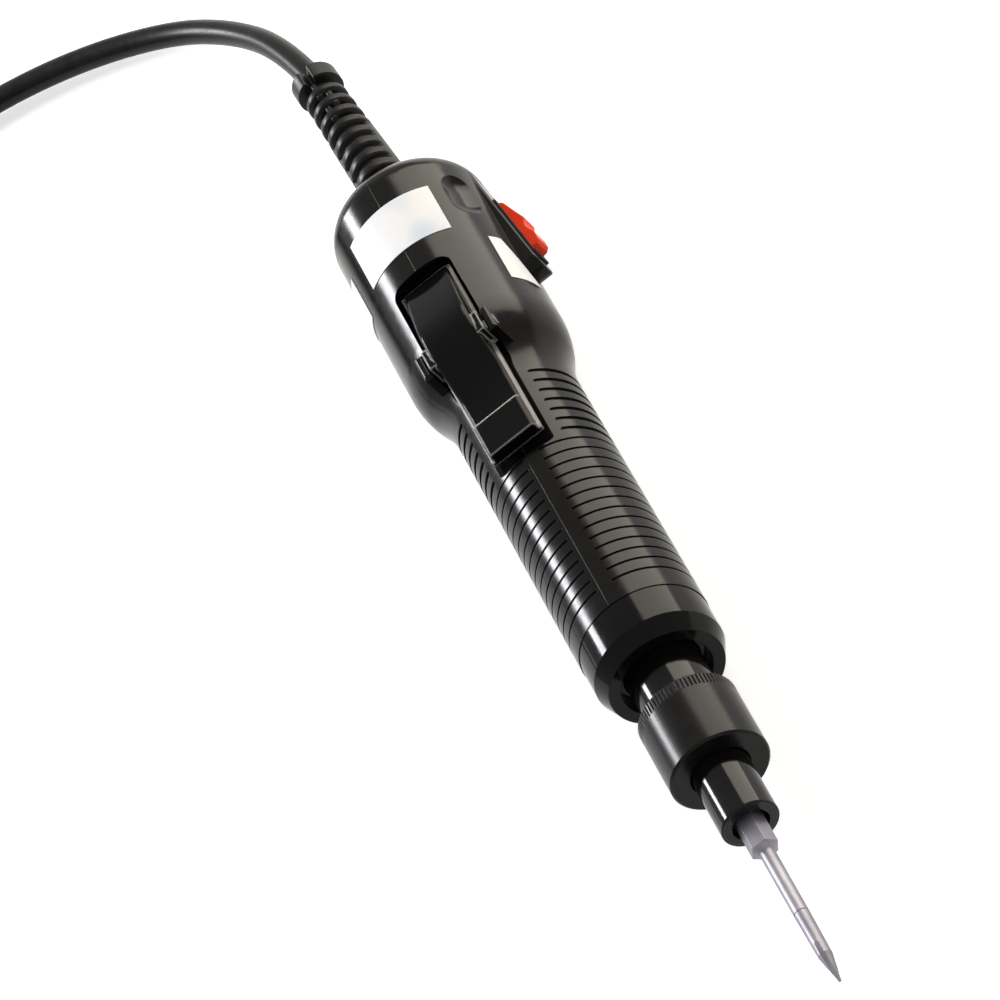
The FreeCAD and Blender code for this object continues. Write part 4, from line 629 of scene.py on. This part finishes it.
def dress_plastics():
    dress(moulded("housing_plastic", dark=(0.0045, 0.0040, 0.0036), light=(0.0075, 0.0067, 0.0060),
                  rough=(0.15, 0.21), grain=0.000005, edge=0.00015, specular=0.15, edge_share=0.1),
          "housing_left", "housing_right")
    dress(moulded("nose_plastic", dark=(0.0035, 0.0032, 0.0030), light=(0.006, 0.0055, 0.005),
                  rough=(0.08, 0.14), grain=0.000002, edge=0.0004, specular=0.12), "nose_ring")
    # The lever's pale edge colour at full share is a painted highlight: bright lines along all its edges in place
    # of glints on rounded edges.
    dress(moulded("lever_plastic", dark=(0.003, 0.0028, 0.0026), light=(0.005, 0.0046, 0.0042),
                  rough=(0.08, 0.14), grain=0.000002, edge=0.0010, specular=0.10,
                  edge_colour=(0.80, 0.78, 0.75), edge_share=1.0), "start_lever")
    dress(moulded("rocker_plastic", dark=(0.94, 0.040, 0.006), light=(0.97, 0.058, 0.010),
                  rough=(0.25, 0.34), grain=0.000004, edge=0.0003, specular=0.12,
                  edge_colour=(0.95, 0.12, 0.04)), "rocker")
    dress(moulded("switch_plastic", dark=(0.006, 0.006, 0.006), light=(0.010, 0.010, 0.010),
                  rough=(0.22, 0.34), grain=0.000006, edge=0.0003, specular=0.2),
          "reversing_switch_case", "start_switch", "start_plunger", "motor_end_cap", "motor_brushes")
    dress(moulded("board", dark=(0.012, 0.13, 0.05), light=(0.02, 0.2, 0.08), rough=(0.3, 0.4),
                  grain=0.000006, edge=0.0002), "circuit_board")
    dress(moulded("terminal_plastic", dark=(0.03, 0.2, 0.09), light=(0.05, 0.27, 0.13), rough=(0.35, 0.45),
                  grain=0.000006, edge=0.0002), "terminal_block")
    dress(jacket("boot_rubber", grain=0.00001), "plug_boot", "plug_grip")
    dress(label_film(), "front_label", "left_label", "side_label")


def dress_metals():
    dress(machined("black_steel", dark=(0.005, 0.0046, 0.0042), light=(0.012, 0.011, 0.010), rough=(0.20, 0.28),
                   marks=TURNED, depth=0.0000015, edge=0.0003, metallic=0.0, specular=0.14),
          "torque_nut", "housing_screws")
    dress(machined("black_polish", dark=(0.005, 0.0046, 0.0042), light=(0.010, 0.009, 0.0085), rough=(0.07, 0.13),
                   marks=TURNED, depth=0.000001, edge=0.0003, metallic=0.0, specular=0.18),
          "bit_sleeve", "sleeve_lid", "clutch_case")
    dress(machined("bit_steel", dark=(0.23, 0.22, 0.25), light=(0.30, 0.29, 0.32), rough=(0.42, 0.54),
                   marks=DRAWN, depth=0.000002, edge=0.0002), "bit")
    dress(machined("plain_steel", dark=(0.42, 0.42, 0.44), light=(0.56, 0.56, 0.58), rough=(0.25, 0.4),
                   marks=TURNED, depth=0.000002, edge=0.0002),
          "spindle", "spring_seat", "clutch_slider", "motor_shaft", "motor_plate", "plate_screws", "lever_pin",
          "armature_core", "motor_can")
    dress(machined("bright_steel", dark=(0.6, 0.6, 0.62), light=(0.72, 0.72, 0.74), rough=(0.08, 0.16),
                   marks=TURNED, depth=0.000001, edge=0.0002), "clutch_balls", "lock_balls", "output_bearing")
    spring = machined("spring_steel", dark=(0.33, 0.33, 0.36), light=(0.46, 0.46, 0.48), rough=(0.25, 0.35),
                      marks=EVEN, depth=0.000002, edge=0.0001)
    dress(spring, "retaining_ring")
    add_springs(spring)
    gears = ["%s_planet_%d" % (stage, number) for stage in ("first", "second") for number in (1, 2, 3)]
    dress(machined("gear_steel", dark=(0.38, 0.37, 0.38), light=(0.5, 0.49, 0.5), rough=(0.3, 0.45),
                   marks=TURNED, depth=0.000002, edge=0.0001),
          "ring_gear", "sun_pinion", "first_carrier", "second_carrier", *gears)
    dress(machined("sintered_bronze", dark=(0.42, 0.29, 0.15), light=(0.55, 0.4, 0.22), rough=(0.4, 0.55),
                   marks=SINTERED, depth=0.00001, edge=0.0002), "motor_bearings")
    dress(machined("ferrite", dark=(0.04, 0.04, 0.045), light=(0.07, 0.07, 0.075), rough=(0.5, 0.65),
                   marks=PRESSED, depth=0.00001, edge=0.0002, metallic=0.0), "motor_magnets")
    dress(machined("copper", dark=(0.6, 0.26, 0.12), light=(0.75, 0.38, 0.2), rough=(0.25, 0.4),
                   marks=WOUND, depth=0.00004, edge=0.0002), "motor_windings", "commutator")
    dress(machined("capacitor_can", dark=(0.5, 0.5, 0.52), light=(0.62, 0.62, 0.64), rough=(0.25, 0.4),
                   marks=UPRIGHT, depth=0.000002, edge=0.0002), "capacitors")
    dress(machined("plug_metal", dark=(0.5, 0.5, 0.52), light=(0.64, 0.64, 0.66), rough=(0.18, 0.28),
                   marks=EVEN, depth=0.000001, edge=0.0003), "plug_shell")
    dress(machined("contact_brass", dark=(0.72, 0.54, 0.2), light=(0.85, 0.68, 0.32), rough=(0.15, 0.25),
                   marks=EVEN, depth=0.000001, edge=0.0001), "plug_contacts")


add_camera()
add_world()
add_floor()
tie = add_tie(woven("tie_fabric", dark=(0.02, 0.02, 0.021), light=(0.044, 0.044, 0.0462)))
add_cord(jacket("cord_rubber", grain=0.000008))
add_relief(jacket("relief_rubber", grain=0.00001))
dress_plastics()
dress_metals()
add_lamps()
